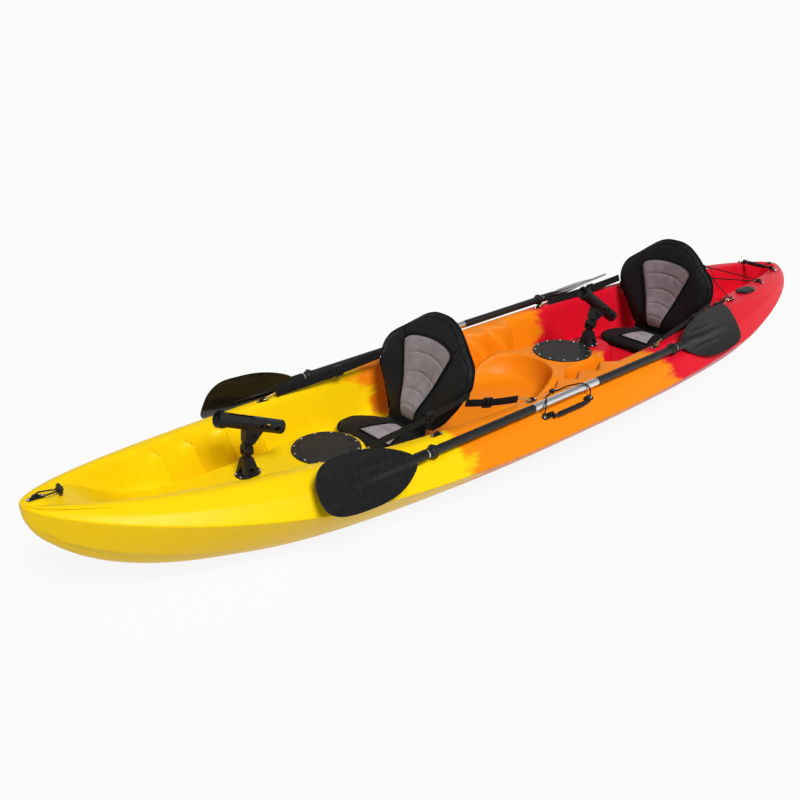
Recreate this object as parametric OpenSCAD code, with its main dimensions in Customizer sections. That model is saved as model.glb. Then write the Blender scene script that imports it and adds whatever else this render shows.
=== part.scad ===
// Sit-on-top tandem kayak with two seats, a child seat, two paddles and two adjustable rod holders.
// +X is the bow, +Y is port and +Z is up. The origin is on the keel, amidships.

/* [Hull] */
// Length of the hull ahead of the middle
bow_l = 1900; // [1880:5:1960]
// Length of the hull behind the middle
stern_l = 1866; // [1850:2:1900]
// Half beam at the gunwale fold, at its widest
fold_half = 406; // [390:1:420]
// How far the side stands out below the fold
side_bulge = 40; // [30:1:48]
// How far the widest line lies below the fold
bulge_drop = 62; // [50:1:75]
// Height of the gunwale fold at its lowest point
sheer_z = 240; // [232:1:250]
// Rise of the fold towards the bow
bow_rise = 118; // [90:1:140]
// Rise of the fold towards the stern
stern_rise = 60; // [45:1:75]
// Height of the rim above the fold
rim_rise = 40; // [32:1:46]
// Distance from the fold in to the rim
rim_inset = 70; // [60:1:78]
// Width of the flat rim amidships
rim_w = 40; // [36:1:48]
// Width of the flat rim beside the tank well
well_rim_w = 95; // [85:1:105]
// Run of the sloping inner wall below the rim
wall_w = 70; // [55:1:80]

/* [Deck] */
// Height of the cockpit floor
floor_z = 118; // [110:1:124]
// Height of the dish floor ahead of the footwells
bow_floor_z = 205; // [195:1:215]
// Height of the tank well floor
well_z = 190; // [170:1:205]
// Height of the front hatch
front_hatch_z = 190; // [186:1:196]
// Height of the rear hatch
rear_hatch_z = 235; // [230:1:240]
// Height of the front rod holder's seat
front_rod_z = 203; // [198:1:208]
// Height of the rear rod holder's seat
rear_rod_z = 226; // [222:1:232]
// Height of the child seat
child_z = 165; // [155:1:175]
// Height of a seat boss above the deck round it
boss_h = 3; // [2:0.5:5]
// Depth of one moulded foot rest
step_d = 32; // [20:1:36]
// Radius of a scupper hole
scupper_r = 14; // [10:1:18]

/* [Hatches] */
// Place of the front hatch
front_hatch_x = 915; // [900:5:930]
// Place of the rear hatch
rear_hatch_x = -263; // [-268:1:-258]
// Outer radius of the hatch ring
ring_r = 117.5; // [114:0.5:120]
// Radius of the hatch lid
lid_r = 94.4; // [90:0.2:98]
// Depth of the bin below the deck
bin_h = 140; // [110:1:150]
// Number of screws in one ring
ring_screws = 12; // [8:1:16]

/* [Seats] */
// Place of the front seat hinge
front_seat_x = 565; // [560:1:575]
// Place of the rear seat hinge
rear_seat_x = -888; // [-895:1:-880]
// Recline of the front backrest
front_recline = 21; // [15:1:24]
// Recline of the rear backrest
rear_recline = 9; // [5:1:14]
// Length of the seat pad
pad_l = 194; // [182:2:196]
// Half width of the seat pad
pad_half = 212; // [195:1:215]
// Thickness of the seat pad at its rear edge
pad_t = 42; // [34:1:46]
// Height of the backrest
back_l = 422; // [400:2:440]
// Half width of the backrest
back_half = 245; // [230:1:250]
// Thickness of the backrest at its crown
back_t = 52; // [44:1:60]
// Width of the webbing
web_w = 25; // [20:1:30]

/* [Rod holders] */
// Place of the front rod holder
front_rod_x = 1216; // [1205:1:1230]
// Place of the rear rod holder
rear_rod_x = -424; // [-430:1:-418]
// Tilt of the front tube
front_tilt = 24; // [10:1:30]
// Tilt of the rear tube
rear_tilt = 37; // [30:1:42]
// Yaw of the rear tube
rear_yaw = -4; // [-20:1:10]
// Length of the tube
tube_l = 242; // [230:1:250]
// Outer radius of the tube
tube_r = 23; // [21:0.5:25]
// Wall of the tube
tube_wall = 3.5; // [2.5:0.5:4]
// Height of the tilt pivot above the base
pivot_h = 92; // [88:1:100]

/* [Paddles] */
// Length of one paddle
paddle_l = 2140; // [2120:2:2160]
// Radius of the shaft
shaft_r = 15; // [14:0.5:16]
// Length of one blade
blade_l = 422; // [410:2:440]
// Width of one blade
blade_w = 184; // [170:1:190]
// Distance of the paddles from the centreline
paddle_y = 368; // [362:1:372]
// Length of the bare aluminium middle
alu_l = 330; // [280:5:380]

/* [Fittings] */
// Radius of a bungee cord
cord_r = 2.5; // [2:0.25:3]
// Lean of the flush rod holders
flush_lean = 20; // [15:1:25]
// Depth of the flush rod holders
flush_l = 170; // [140:5:180]

/* [Hidden] */
$fn = 48;

yellow = "gold";
black = [0.10, 0.10, 0.11];
grey = [0.42, 0.41, 0.44];
steel = "silver";

bay = 60;
beam_x = 66;
sheer_x = 380;
stem_l = 640;
stem_h = 328;
fore_rise = 22;
tail_l = 450;
tail_h = 260;
taper_y = 330;
gap = 0.4;
lip = 14;

// Curves
function ease(a, b, t) = let (u = min(1, max(0, (t - a) / (b - a)))) u * u * (3 - 2 * u);
function mix(a, b, t) = a + (b - a) * t;
function quarter(s) = 1 - sqrt(max(0, 1 - s * s));

// Lines of the hull
function fold_y(x) = x > beam_x
  ? fold_half * pow(max(0, 1 - pow((x - beam_x) / (bow_l - beam_x), 2.42)), 0.65)
  : fold_half * pow(max(0, 1 - pow((beam_x - x) / (stern_l + beam_x), 2.40)), 0.66);
function fold_z(x) = sheer_z + (x > sheer_x
  ? bow_rise * pow((x - sheer_x) / (bow_l - sheer_x), 2.5)
  : stern_rise * pow((sheer_x - x) / (stern_l + sheer_x), 1.2));
function keel_z(x) = x > 0
  ? fore_rise * ease(bow_l - 1000, bow_l - 400, x) + stem_h * quarter(max(0, x - bow_l + stem_l) / stem_l)
  : x < tail_l - stern_l ? tail_h * quarter((tail_l - stern_l - x) / tail_l) : 0;
function taper(x) = min(1, fold_y(x) / taper_y);
function rim_z(x) = fold_z(x) + rim_rise * taper(x);
function rim_out(x) = fold_y(x) - rim_inset * taper(x);
function rim_in(x) = rim_out(x) - taper(x) *
  (mix(rim_w, well_rim_w, ease(1020, 1180, -x)) + 0.3 * step_d * teeth(x));

// Moulded foot rests are saw teeth along the inner wall
step_pitch = 2 * bay;
front_steps = [1080, 1560];
rear_steps = [-240, 120];
function tooth(x, run) = x <= run[0] || x >= run[1] ? 0
  : let (u = (x - run[0]) / step_pitch) 2 * abs(u - floor(u + 0.5));
function teeth(x) = tooth(x, front_steps) + tooth(x, rear_steps);
function wall_run(x) = (wall_w + step_d * teeth(x)) * taper(x);

// Deck: the floor, then the console and the platform with the child seat standing on it
console_r = 128;
platform_r = 150;
neck_r = 95;
edge_r = 28;
child_x = 40;
child_r = 135;
rear_end_x = rear_rod_x;
function floor_at(x) = let (
    lipped = rim_z(x) - lip * taper(x),
    dish = mix(floor_z, bow_floor_z, ease(bow_l - 570, bow_l - 420, x)),
    bow = mix(dish, lipped, ease(bow_l - 400, bow_l - 100, x)),
    well = mix(bow, well_z, ease(1000, 1080, -x))
  ) mix(well, lipped, ease(stern_l - 126, stern_l - 46, -x));
function console_at(x, y) = let (
    r = x < front_hatch_x ? norm([x - front_hatch_x, y]) : abs(y),
    w = mix(console_r, neck_r, ease(front_hatch_x + 90, front_hatch_x + 210, x))
  ) (1 - ease(w, w + edge_r, r)) * (1 - ease(bow_l - 460, bow_l - 340, x));
function platform_at(x, y) = let (
    r = x > child_x ? norm([x - child_x, y]) : x < rear_end_x ? norm([x - rear_end_x, y]) : abs(y),
    w = mix(mix(neck_r, platform_r, ease(rear_end_x + 20, rear_end_x + 60, x)), 195, ease(-140, -70, x))
  ) 1 - ease(w, w + edge_r, r);
function child_at(x, y) = let (r = x < child_x ? norm([x - child_x, y]) : abs(y))
  1 - ease(child_r, child_r + edge_r, r);
function deck_z(x, y) = let (
    bowl = mix(rim_z(x), min(rim_z(x), floor_at(x)), ease(0, wall_run(x), rim_in(x) - abs(y))),
    console_z = mix(front_hatch_z, front_rod_z, ease(1040, 1150, x)) - boss_h,
    aft_z = mix(rear_rod_z, rear_hatch_z, ease(rear_rod_x + 64, rear_rod_x + 124, x)) - boss_h,
    top = mix(aft_z, child_z, ease(-60, 130, x)),
    dish = mix(child_z, floor_z, ease(150, 380, x)),
    a = mix(bowl, max(bowl, console_z), console_at(x, y)),
    b = mix(a, max(a, top), platform_at(x, y))
  ) x < -150 || x > 380 ? b : mix(b, max(dish, floor_z), child_at(x, y));

// Sections run from the keel out to port, up over the rim and in to the middle of the deck
bottom_shape = [[0, 0], [0.22, 0], [0.45, 0.07], [0.64, 0.25], [0.83, 0.60]];
deck_n = 13;
function half_section(x) = let (
    g = taper(x),
    yc = fold_y(x) + side_bulge * g,
    zc = fold_z(x) - bulge_drop * mix(0.1, 1, g * g)
  ) concat(
    [for (p = bottom_shape) [yc * p[0], mix(keel_z(x), zc, p[1])]],
    [[yc, zc], [fold_y(x), fold_z(x)], [rim_out(x), rim_z(x)]],
    [for (i = [0 : deck_n]) let (y = rim_in(x) * (1 - i / deck_n)) [y, deck_z(x, y)]]);
function section(x) = let (h = half_section(x), n = len(h)) concat(
    [for (p = h) [x, p[0], p[1]]],
    [for (i = [n - 2 : -1 : 1]) [x, -h[i][0], h[i][1]]]);
tip_gaps = [2, 20, 45, 80, 120, 170];
console_x = front_hatch_x - console_r - edge_r - 1;
function bays(x0, x1) = [for (i = [ceil(x0 / bay) : floor(x1 / bay)]) bay * i];
stations = concat([for (d = tip_gaps) d - stern_l], bays(200 - stern_l, console_x - 8), [console_x],
  bays(console_x + 8, bow_l - 200), [for (i = [len(tip_gaps) - 1 : -1 : 0]) bow_l - tip_gaps[i]]);

// Closed skin over rows of points; each row is one closed ring, and each end is a fan about its middle
function middle(r) = [for (k = [0 : 2]) [for (p = r) p[k]] * [for (p = r) 1] / len(r)];
function skin_faces(rows, n) = let (e = rows * n) concat(
    [for (j = [0 : n - 1]) [j, (j + 1) % n, e]],
    [for (i = [0 : rows - 2], j = [0 : n - 1]) let (k = (j + 1) % n)
      each [[i * n + j, (i + 1) * n + j, (i + 1) * n + k], [i * n + j, (i + 1) * n + k, i * n + k]]],
    [for (j = [0 : n - 1]) [(rows - 1) * n + (j + 1) % n, (rows - 1) * n + j, e + 1]]);
module skin(rings) {
  last = len(rings) - 1;
  polyhedron(points = [for (r = rings) each r, middle(rings[0]), middle(rings[last])],
    faces = skin_faces(last + 1, len(rings[0])), convexity = 8);
}

// Height and slope of the rim as it is moulded, straight from station to station
rim_table = [for (x = stations) [x, rim_z(x)]];
function rim_at(x) = lookup(x, rim_table);
function rim_slope(x) = -atan2(rim_at(x + bay / 3) - rim_at(x - bay / 3), 2 * bay / 3);
function rim_mid(x) = (rim_out(x) + rim_in(x)) / 2;

// Flat shape with round ends, along X
module stadium(l, w) {
  square([l - w, w], center = true);
  for (s = [-1, 1]) translate([s * (l - w) / 2, 0]) circle(d = w);
}

// Round tube along a route
function unit(v) = v / norm(v);
function tangent(p, i) = unit(p[min(i + 1, len(p) - 1)] - p[max(i - 1, 0)]);
function side_of(t) = unit(abs(t[2]) > 0.9 ? cross(t, [1, 0, 0]) : cross(t, [0, 0, 1]));
function tube_ring(p, i, r, n) = let (t = tangent(p, i), a = side_of(t), b = cross(t, a))
  [for (k = [0 : n - 1]) p[i] + r * (cos(360 * k / n) * a + sin(360 * k / n) * b)];
module tube_along(p, r, n = 8) {
  skin([for (i = [0 : len(p) - 1]) tube_ring(p, i, r, n)]);
}
// Smooth route through hand-set points
function spline_at(p, i, t) = let (
    a = p[max(i - 1, 0)], b = p[i], c = p[min(i + 1, len(p) - 1)], d = p[min(i + 2, len(p) - 1)]
  ) 0.5 * (2 * b + (c - a) * t + (2 * a - 5 * b + 4 * c - d) * t * t + (3 * b - a - 3 * c + d) * t * t * t);
function smooth_route(p, m) = [
  for (i = [0 : len(p) - 2], k = [0 : m - 1]) spline_at(p, i, k / m), p[len(p) - 1]];
function flip(p) = [for (q = p) [q[0], -q[1], q[2]]];

// Flat webbing along a route, with its width along a given direction
module webbing(p, across, w, t) {
  skin([for (i = [0 : len(p) - 1]) let (
      d = tangent(p, i), a = unit(across - d * (across * d)), n = cross(d, a)
    ) [p[i] - a * w / 2 - n * t / 2, p[i] + a * w / 2 - n * t / 2,
       p[i] + a * w / 2 + n * t / 2, p[i] - a * w / 2 + n * t / 2]]);
}

// Hull
hatch_x = [front_hatch_x, rear_hatch_x];
hatch_z = [front_hatch_z, rear_hatch_z];
rod_x = [front_rod_x, rear_rod_x];
rod_z = [front_rod_z, rear_rod_z];
boss_r = ring_r + 8;
base_boss_r = 46;
collar_w = 5;
pocket_r = lid_r + 0.6 + collar_w + gap;
eye_x = [990, 690, 265, -450, rear_seat_x - 247];
cargo_x = 396 - stern_l;
flush_x = (eye_x[4] + cargo_x) / 2 + 2.5;
tip_eye_x = bow_l - 44;
tip_eye_z = 361;
plug_x = 46 - stern_l;
plug_z = 306;
scuppers = [[450, 150], [rear_seat_x - 87, 150], [cargo_x + 70, 60]];
flush_r = 23;
flush_y = rim_mid(flush_x);

module flush_place(side) {
  translate([flush_x, side * flush_y, rim_at(flush_x) + gap]) rotate([0, -flush_lean, 0]) children();
}
module hull() {
  color(yellow) difference() {
    union() {
      skin([for (x = stations) section(x)]);
      for (i = [0, 1]) {
        translate([hatch_x[i], 0, hatch_z[i] - 50]) cylinder(r = boss_r, h = 50);
        translate([rod_x[i], 0, rod_z[i] - 40]) cylinder(r = base_boss_r, h = 40);
      }
      translate([tip_eye_x, 0, tip_eye_z - 40]) cylinder(r = 24, h = 40);
      translate([plug_x, 0, plug_z - 40]) cylinder(r = 18, h = 40);
    }
    for (i = [0, 1]) translate([hatch_x[i], 0, hatch_z[i] - bin_h - 10])
      cylinder(r = pocket_r, h = bin_h + 40);
    for (s = scuppers, side = [-1, 1]) translate([s[0], side * s[1], -10])
      cylinder(r = scupper_r, h = floor_z + 120);
    for (side = [-1, 1]) flush_place(side) translate([0, 0, -flush_l - 6])
      cylinder(r = flush_r + gap, h = flush_l + 60);
  }
}

// Hatches
flange_t = 5;
collar_h = 22;
ledge_w = 9;
ledge_t = 3;
bin_t = 2;
gasket_r = 2;
ring_in = lid_r + 0.6;
screw_pitch_r = (ring_r + ring_in + collar_w) / 2;
module at_hatch(i) { translate([hatch_x[i], 0, hatch_z[i]]) children(); }
module hatch_ring(i) {
  color(black) at_hatch(i) difference() {
    rotate_extrude() polygon([[ring_in, flange_t], [ring_r - 2, flange_t], [ring_r, flange_t - 2],
      [ring_r, 0], [ring_in + collar_w, 0], [ring_in + collar_w, -collar_h], [ring_in - ledge_w, -collar_h],
      [ring_in - ledge_w, ledge_t - collar_h], [ring_in, ledge_t - collar_h]]);
    for (k = [0 : ring_screws - 1]) rotate(360 * k / ring_screws + 15)
      translate([screw_pitch_r, 0, -1]) cylinder(r = 2.2, h = flange_t + 2);
  }
}
bin_z = ledge_t - collar_h;
module hatch_bin(i) {
  r = ring_in - ledge_w - 0.5;
  color(black) at_hatch(i) rotate_extrude() polygon([[0, -bin_h], [r - 6, -bin_h], [r, 6 - bin_h],
    [r, bin_z], [ring_in - 0.5, bin_z], [ring_in - 0.5, bin_z + bin_t], [r - bin_t, bin_z + bin_t],
    [r - bin_t, 6 - bin_h + bin_t], [r - 6, bin_t - bin_h], [0, bin_t - bin_h]]);
}
module hatch_gasket(i) {
  color("dimgray") at_hatch(i) translate([0, 0, bin_z + bin_t + gasket_r])
    rotate_extrude() translate([ring_in - ledge_w / 2, 0]) circle(r = gasket_r);
}
// The lid is a shallow dish with three finger wells and a turned rim
module hatch_lid(i) {
  skirt = bin_z + bin_t + 2 * gasket_r + run_gap;
  color(black) at_hatch(i) difference() {
    rotate_extrude() polygon([[0, flange_t - 3.5], [lid_r - 6, flange_t - 3.5], [lid_r - 6, skirt],
      [lid_r, skirt], [lid_r, flange_t - 1], [lid_r - 1, flange_t], [lid_r - 8, flange_t],
      [lid_r - 9, flange_t - 0.8], [lid_r - 10, flange_t], [0, flange_t]]);
    for (a = [-40, 0, 40]) rotate(a + 90) translate([lid_r * 0.42, 0, flange_t - 1.6])
      cylinder(r1 = 7, r2 = 9, h = 3);
  }
}
module hatch_screws() {
  color(steel) for (i = [0, 1], k = [0 : ring_screws - 1])
    at_hatch(i) rotate(360 * k / ring_screws + 15) translate([screw_pitch_r, 0, 0]) {
      translate([0, 0, flange_t]) cylinder(r1 = 4, r2 = 3, h = 1.8);
      translate([0, 0, gap]) cylinder(r = 2, h = flange_t);
    }
}

// Deck eyes: a plate with a half ring standing on it.
// The last pair is wider, because it takes a seat clip and the cargo bungee side by side.
eye_plate = [46, 16, 3];
eye_ring = [9, 3];
cargo_ring = [11, 3];
last_eye = len(eye_x) - 1;
function ring_of(i) = i == last_eye ? cargo_ring : eye_ring;
module eye(plate, ring) {
  linear_extrude(plate[2]) stadium(plate[0], plate[1]);
  translate([0, 0, plate[2] - 0.5]) rotate([90, 0, 0]) rotate_extrude(angle = 180)
    translate([ring[0], 0]) circle(r = ring[1]);
}
module on_rim(x, side) {
  translate([x, side * rim_mid(x), rim_at(x)]) rotate([0, rim_slope(x), 0]) translate([0, 0, gap]) children();
}
module deck_eyes() {
  color(black) {
    for (i = [0 : last_eye], side = [-1, 1]) on_rim(eye_x[i], side) eye(eye_plate, ring_of(i));
    translate([tip_eye_x, 0, tip_eye_z]) eye(eye_plate, eye_ring);
  }
}
module cargo_eyes() {
  color(black) for (side = [-1, 1]) on_rim(cargo_x, side) rotate(90) eye(eye_plate, cargo_ring);
}
module rivet() { cylinder(r1 = 3.6, r2 = 2.4, h = 2); }
module rivet_pair() {
  for (s = [-1, 1]) translate([s * (eye_plate[0] / 2 - 4.4), 0, eye_plate[2]]) rivet();
}
module deck_rivets() {
  color(steel) {
    for (x = eye_x, side = [-1, 1]) on_rim(x, side) rivet_pair();
    translate([tip_eye_x, 0, tip_eye_z]) rivet_pair();
    for (side = [-1, 1]) on_rim(cargo_x, side) rotate(90) rivet_pair();
    for (side = [-1, 1], s = [-1, 1]) at_side_lug(side, s) lug_bolt(s);
    for (s = [-1, 1]) at_stern_lug(s) lug_bolt(s);
  }
}

// Bow toggle: a disc knob on a loop of cord through the eye
knob_r = 17;
knob_t = 12;
eye_hole_z = eye_plate[2] + 2.8;
toggle_x = tip_eye_x - 62;
toggle_z = deck_z(toggle_x, 0) + knob_r + 1;
module bow_toggle() {
  color(black) translate([toggle_x, 0, toggle_z]) rotate([0, 90, 0]) {
    translate([0, 0, -knob_t / 2]) cylinder(r = knob_r, h = knob_t / 2);
    translate([0, 0, -knob_t]) cylinder(r = 7, h = knob_t * 1.5);
  }
}
function toggle_route() = let (
    x0 = toggle_x + knob_t * 0.5 + 0.9, x1 = tip_eye_x, z0 = toggle_z, z1 = tip_eye_z + eye_hole_z
  ) [[x0, -4, z0], [mix(x0, x1, 0.3), -11, mix(z0, z1, 0.45)], [mix(x0, x1, 0.7), -15, z1 + 1.5],
     [x1 - 8, -14, z1 + 0.6], [x1 - 1, -8, z1], [x1, 0, z1], [x1 - 1, 8, z1], [x1 - 8, 14, z1 + 0.6],
     [mix(x0, x1, 0.7), 15, z1 + 1.5], [mix(x0, x1, 0.3), 11, mix(z0, z1, 0.45)], [x0, 4, z0]];
module bow_cord() {
  color(black) tube_along(toggle_route(), 2, 8);
}

// Carry handles: two lugs and a ribbed grip that swings between them.
// The side handles lie on the ledge outside the rim, and the stern handle lies across the tank well.
handle_x = [270, 50];
stern_handle_x = 156 - stern_l;
stern_span = 2 * rim_mid(stern_handle_x);
lug = [40, 22, 4];
lug_in = 17;
handle_pin_z = 12;
handle_drop = 15;
grip_r = 9;
function ledge_slope(x) = atan2(rim_z(x) - fold_z(x), fold_y(x) - rim_out(x));
// Point on the ledge, a distance in from the fold and a height off the surface
function ledge_point(x, d, h) = let (s = ledge_slope(x))
  [x, fold_y(x) - d * cos(s) + h * sin(s), fold_z(x) + d * sin(s) + h * cos(s)];
lug_gap = 0.7;
function lug_foot(i) = ledge_point(handle_x[i], lug_in, lug_gap);
side_line = lug_foot(0) - lug_foot(1);
side_span = norm(side_line);
handle_mid = (handle_x[0] + handle_x[1]) / 2;
module at_side(side) {
  mid = (lug_foot(0) + lug_foot(1)) / 2;
  translate([mid[0], side * mid[1], mid[2]])
    rotate([0, -asin(side_line[2] / side_span), side * atan2(side_line[1], side_line[0])])
      rotate([side * -ledge_slope(handle_mid), 0, 0]) children();
}
module at_side_lug(side, s) { at_side(side) translate([s * side_span / 2, 0, 0]) children(); }
module at_stern() {
  translate([stern_handle_x, 0, rim_at(stern_handle_x) + gap + 0.4]) rotate(90) children();
}
module at_stern_lug(s) { at_stern() translate([s * stern_span / 2, 0, 0]) children(); }
module lug_bolt(s) { translate([s * lug[0] * 0.25, 0, lug[2]]) cylinder(r1 = 5, r2 = 3.4, h = 2.6); }
module lug_at(s) {
  difference() {
    union() {
      linear_extrude(lug[2]) stadium(lug[0], lug[1]);
      translate([-s * (lug[0] / 2 - 8), 0, 0]) rotate([90, 0, 90]) linear_extrude(7, center = true) {
        translate([0, handle_pin_z]) circle(r = 6);
        translate([-6, 1]) square([12, handle_pin_z - 1]);
      }
    }
    translate([-s * (lug[0] / 2 - 8), 0, handle_pin_z]) rotate([0, 90, 0])
      cylinder(r = 3, h = 20, center = true);
  }
}
module side_handle_lugs(side) {
  color(black) for (s = [-1, 1]) at_side_lug(side, s) lug_at(s);
}
module stern_handle_lugs() {
  color(black) for (s = [-1, 1]) at_stern_lug(s) lug_at(s);
}
module handle_bar(span, drop) {
  l = span - lug[0];
  n = floor((l / 2 - 24) / 8);
  translate([0, 0, handle_pin_z]) {
    for (s = [-1, 1]) {
      translate([s * (l / 2 + 8), 0, 0]) rotate([0, 90, 0]) cylinder(r = 2.9, h = 16, center = true);
      translate([s * (l / 2 - 2), 0, 0]) rotate([90, 0, 90]) linear_extrude(8, center = true) {
        circle(r = 6);
        translate([drop, 0]) circle(r = 6);
        translate([drop / 2, 0]) square([abs(drop), 12], center = true);
      }
    }
    translate([0, drop, 0]) rotate([0, 90, 0]) rotate_extrude()
      polygon(concat([[0, -l / 2 + 1], [5, -l / 2 + 1], [5, -8 * n - 6]],
        [for (k = [-n : n]) each [[grip_r, 8 * k - 3.2], [grip_r, 8 * k + 2.2], [grip_r - 1.6, 8 * k + 2.8],
          [grip_r - 1.6, 8 * k + 4.2]]], [[5, 8 * n + 6], [5, l / 2 - 1], [0, l / 2 - 1]]));
  }
}
module side_handle(side) {
  color(black) at_side(side) handle_bar(side_span, side * handle_drop);
}
module stern_handle() { color(black) at_stern() handle_bar(stern_span, -handle_drop); }

// Paddle keepers: a bungee from lug to stud and back, over the shaft
stud_x = 160;
stud_post_r = 4.5;
module keeper_studs() {
  color(black) for (side = [-1, 1]) on_rim(stud_x, side) {
    cylinder(r = 9, h = 2.5);
    cylinder(r = stud_post_r, h = 10);
    translate([0, 0, 9]) cylinder(r1 = 9, r2 = 7, h = 3.5);
  }
}
// One half of the loop, from the lug ahead of the stud or from the one behind it
function keeper_half(s) = let (
    y = rim_mid(stud_x), z = rim_at(stud_x) + 6.5, up = shaft_r + cord_r + 1,
    r = stud_post_r + cord_r + 1.4, x = handle_x[s > 0 ? 0 : 1] + s * lug[0] / 4
  ) [ledge_point(x, lug_in + 8, lug_gap + lug[2] + cord_r + 0.5), ledge_point(x - s * 2, lug_in + 12, 22),
     [x - s * 7, paddle_y + up + 1, paddle_z(x) + 5], [x - s * 15, paddle_y + 13, paddle_z(x) + up - 4.5],
     [x - s * 28, paddle_y, paddle_z(x) + up + 0.5], [x - s * 44, paddle_y - 13, paddle_z(x) + up - 3.5],
     [x - s * 72, paddle_y - 28, paddle_z(x) + up - 8], [stud_x + s * 18, y + 9, z + 1],
     [stud_x + s * r * cos(20), y + r * sin(20), z], [stud_x + s * r * cos(35), y - r * sin(35), z],
     [stud_x, y - r, z]];
function keeper_route() = let (a = keeper_half(1), b = keeper_half(-1), n = len(b))
  concat(a, [for (i = [n - 2 : -1 : 0]) b[i]]);
module keeper_bungee(side) {
  r = smooth_route(keeper_route(), 2);
  color(black) tube_along(side > 0 ? r : flip(r), cord_r, 8);
}

// Cargo bungee laced over the tank well, from eye to eye
lace_x = eye_x[last_eye] - 3.2;
lace_z = eye_plate[2] + cord_r + 0.3 + gap;
function front_lace(side) = let (
    x = eye_x[last_eye], p = [lace_x, side * rim_mid(x), rim_at(x) + lace_z]
  ) [p + [0, side * 12, 0], p + [0, side * 4, 0], p - [0, side * 4, 0], p - [3, side * 12, 0]];
function rear_lace(side) = let (p = [cargo_x, side * rim_mid(cargo_x), rim_at(cargo_x) + lace_z])
  [p + [14, -side * 7, 0], p + [4, 0, 0], p - [4, 0, 0], p - [11, side * 9, 0]];
function turned(p) = [for (i = [len(p) - 1 : -1 : 0]) p[i]];
// The second diagonal crosses over the first
function lace_route() = let (last = turned(front_lace(-1)), aft = turned(rear_lace(1)))
  concat(front_lace(1), rear_lace(-1), aft, [(aft[3] + last[0]) / 2 + [0, 0, 8]], last);
module cargo_bungee() {
  color(black) tube_along(lace_route(), cord_r, 8);
}

// Flush rod holders and their caps
flush_wall = 3;
flush_flange = [104, 60, 4];
module flush_holder(side) {
  color(black) difference() {
    union() {
      translate([flush_x, side * flush_y, rim_at(flush_x) + gap]) linear_extrude(flush_flange[2])
        stadium(flush_flange[0], flush_flange[1]);
      intersection() {
        flush_place(side) translate([0, 0, -flush_l]) cylinder(r = flush_r, h = flush_l + 40);
        translate([flush_x, side * flush_y, rim_at(flush_x) - flush_l + flush_flange[2] / 2])
          cube([400, 100, 2 * flush_l], center = true);
      }
    }
    flush_place(side) translate([0, 0, flush_wall - flush_l])
      cylinder(r = flush_r - flush_wall, h = flush_l + 60);
  }
}
// The cap is a long six-sided lozenge with a raised middle and a finger slot
module lozenge(l, w) {
  polygon([[-l / 2, 0], [-l / 2 + 0.45 * w, -w / 2], [l / 2 - 0.45 * w, -w / 2], [l / 2, 0],
    [l / 2 - 0.45 * w, w / 2], [-l / 2 + 0.45 * w, w / 2]]);
}
module flush_cap(side) {
  z = rim_at(flush_x) + gap + flush_flange[2];
  color(black) translate([flush_x, side * flush_y, z + gap]) difference() {
    union() {
      linear_extrude(4) lozenge(118, 54);
      translate([0, 0, 4]) linear_extrude(3.5, scale = 0.86) lozenge(92, 40);
    }
    translate([0, 0, 6]) linear_extrude(3) stadium(30, 12);
  }
}

// Seats: the backrest's thin hem turns about a line just above the rear edge of the pad
pad_z = floor_z + gap;
hem_t = 2.4;
hem_low = 4;
hem_gap = 0.5;
hinge_z = pad_z + pad_t + norm([hem_t, hem_low]) + hem_gap;
seat_x = [front_seat_x, rear_seat_x];
recline = [front_recline, rear_recline];
// Half widths along the pad, from the waist at the hinge to the front edge
pad_shape = [[0, 0.50], [0.05, 0.60], [0.15, 0.72], [0.32, 0.88], [0.52, 0.98], [0.67, 1], [0.83, 0.98],
  [0.93, 0.91], [1, 0.76]];
// The rear pad is narrower, because the hull narrows towards the stern
seat_fit = [1, 0.86];
function pad_width(i, v) = seat_fit[i] * pad_half * lookup(v, pad_shape);
function pad_crown(a, v) = (1 - pow(abs(a), 4)) * ease(0, 0.28, v) * (1 - 0.6 * ease(0.8, 1, v));
pad_rows = 14;
pad_cols = 10;
module seat_pad(i) {
  color(black) skin([for (r = [0 : pad_rows]) let (
      v = r / pad_rows, x = seat_x[i] - 4 + pad_l * v, w = pad_width(i, v),
      edge = pad_t * mix(1, 0.8, ease(0.5, 1, v))
    ) concat([for (k = [pad_cols : -1 : 0]) let (a = 2 * k / pad_cols - 1)
        [x, a * w, pad_z + edge + 9 * pad_crown(a, v)]],
      [for (k = [0 : pad_cols]) let (a = 2 * k / pad_cols - 1) [x, a * w * 0.9, pad_z]])]);
}
// Backrest: narrow at the waist, wide below the shoulders, with a hump at the top
back_shape = [[0, 0.42], [0.13, 0.64], [0.23, 0.76], [0.34, 0.88], [0.45, 0.965], [0.52, 1], [0.58, 0.99],
  [0.65, 0.93], [0.71, 0.82], [0.76, 0.70], [0.83, 0.57], [0.88, 0.47], [0.94, 0.36], [0.975, 0.28],
  [1, 0.15]];
function back_width(v) = back_half * lookup(v, back_shape);
function back_quilt(a, v) = let (c = 4.5 * (v - 0.16 + 0.05 * a * a))
  abs(a) < mix(0.42, 0.55, v) && v > 0.12 && v < 0.75 ? -3 * exp(-pow((c - floor(c) - 0.5) / 0.12, 2)) : 0;
function back_crown(a, v) = back_t * pow(max(0, 1 - pow(abs(a), 3.2)), 0.6) * ease(0, 0.22, v) *
  pow(max(0.06, 1 - pow(v, 8)), 0.5);
function back_edge(v) = mix(hem_t, 5, ease(0.02, 0.14, v));
function on_back(i, u, h, n) = let (r = recline[i])
  [seat_x[i] - h * sin(r) + n * cos(r), u, hinge_z + h * cos(r) + n * sin(r)];
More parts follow.
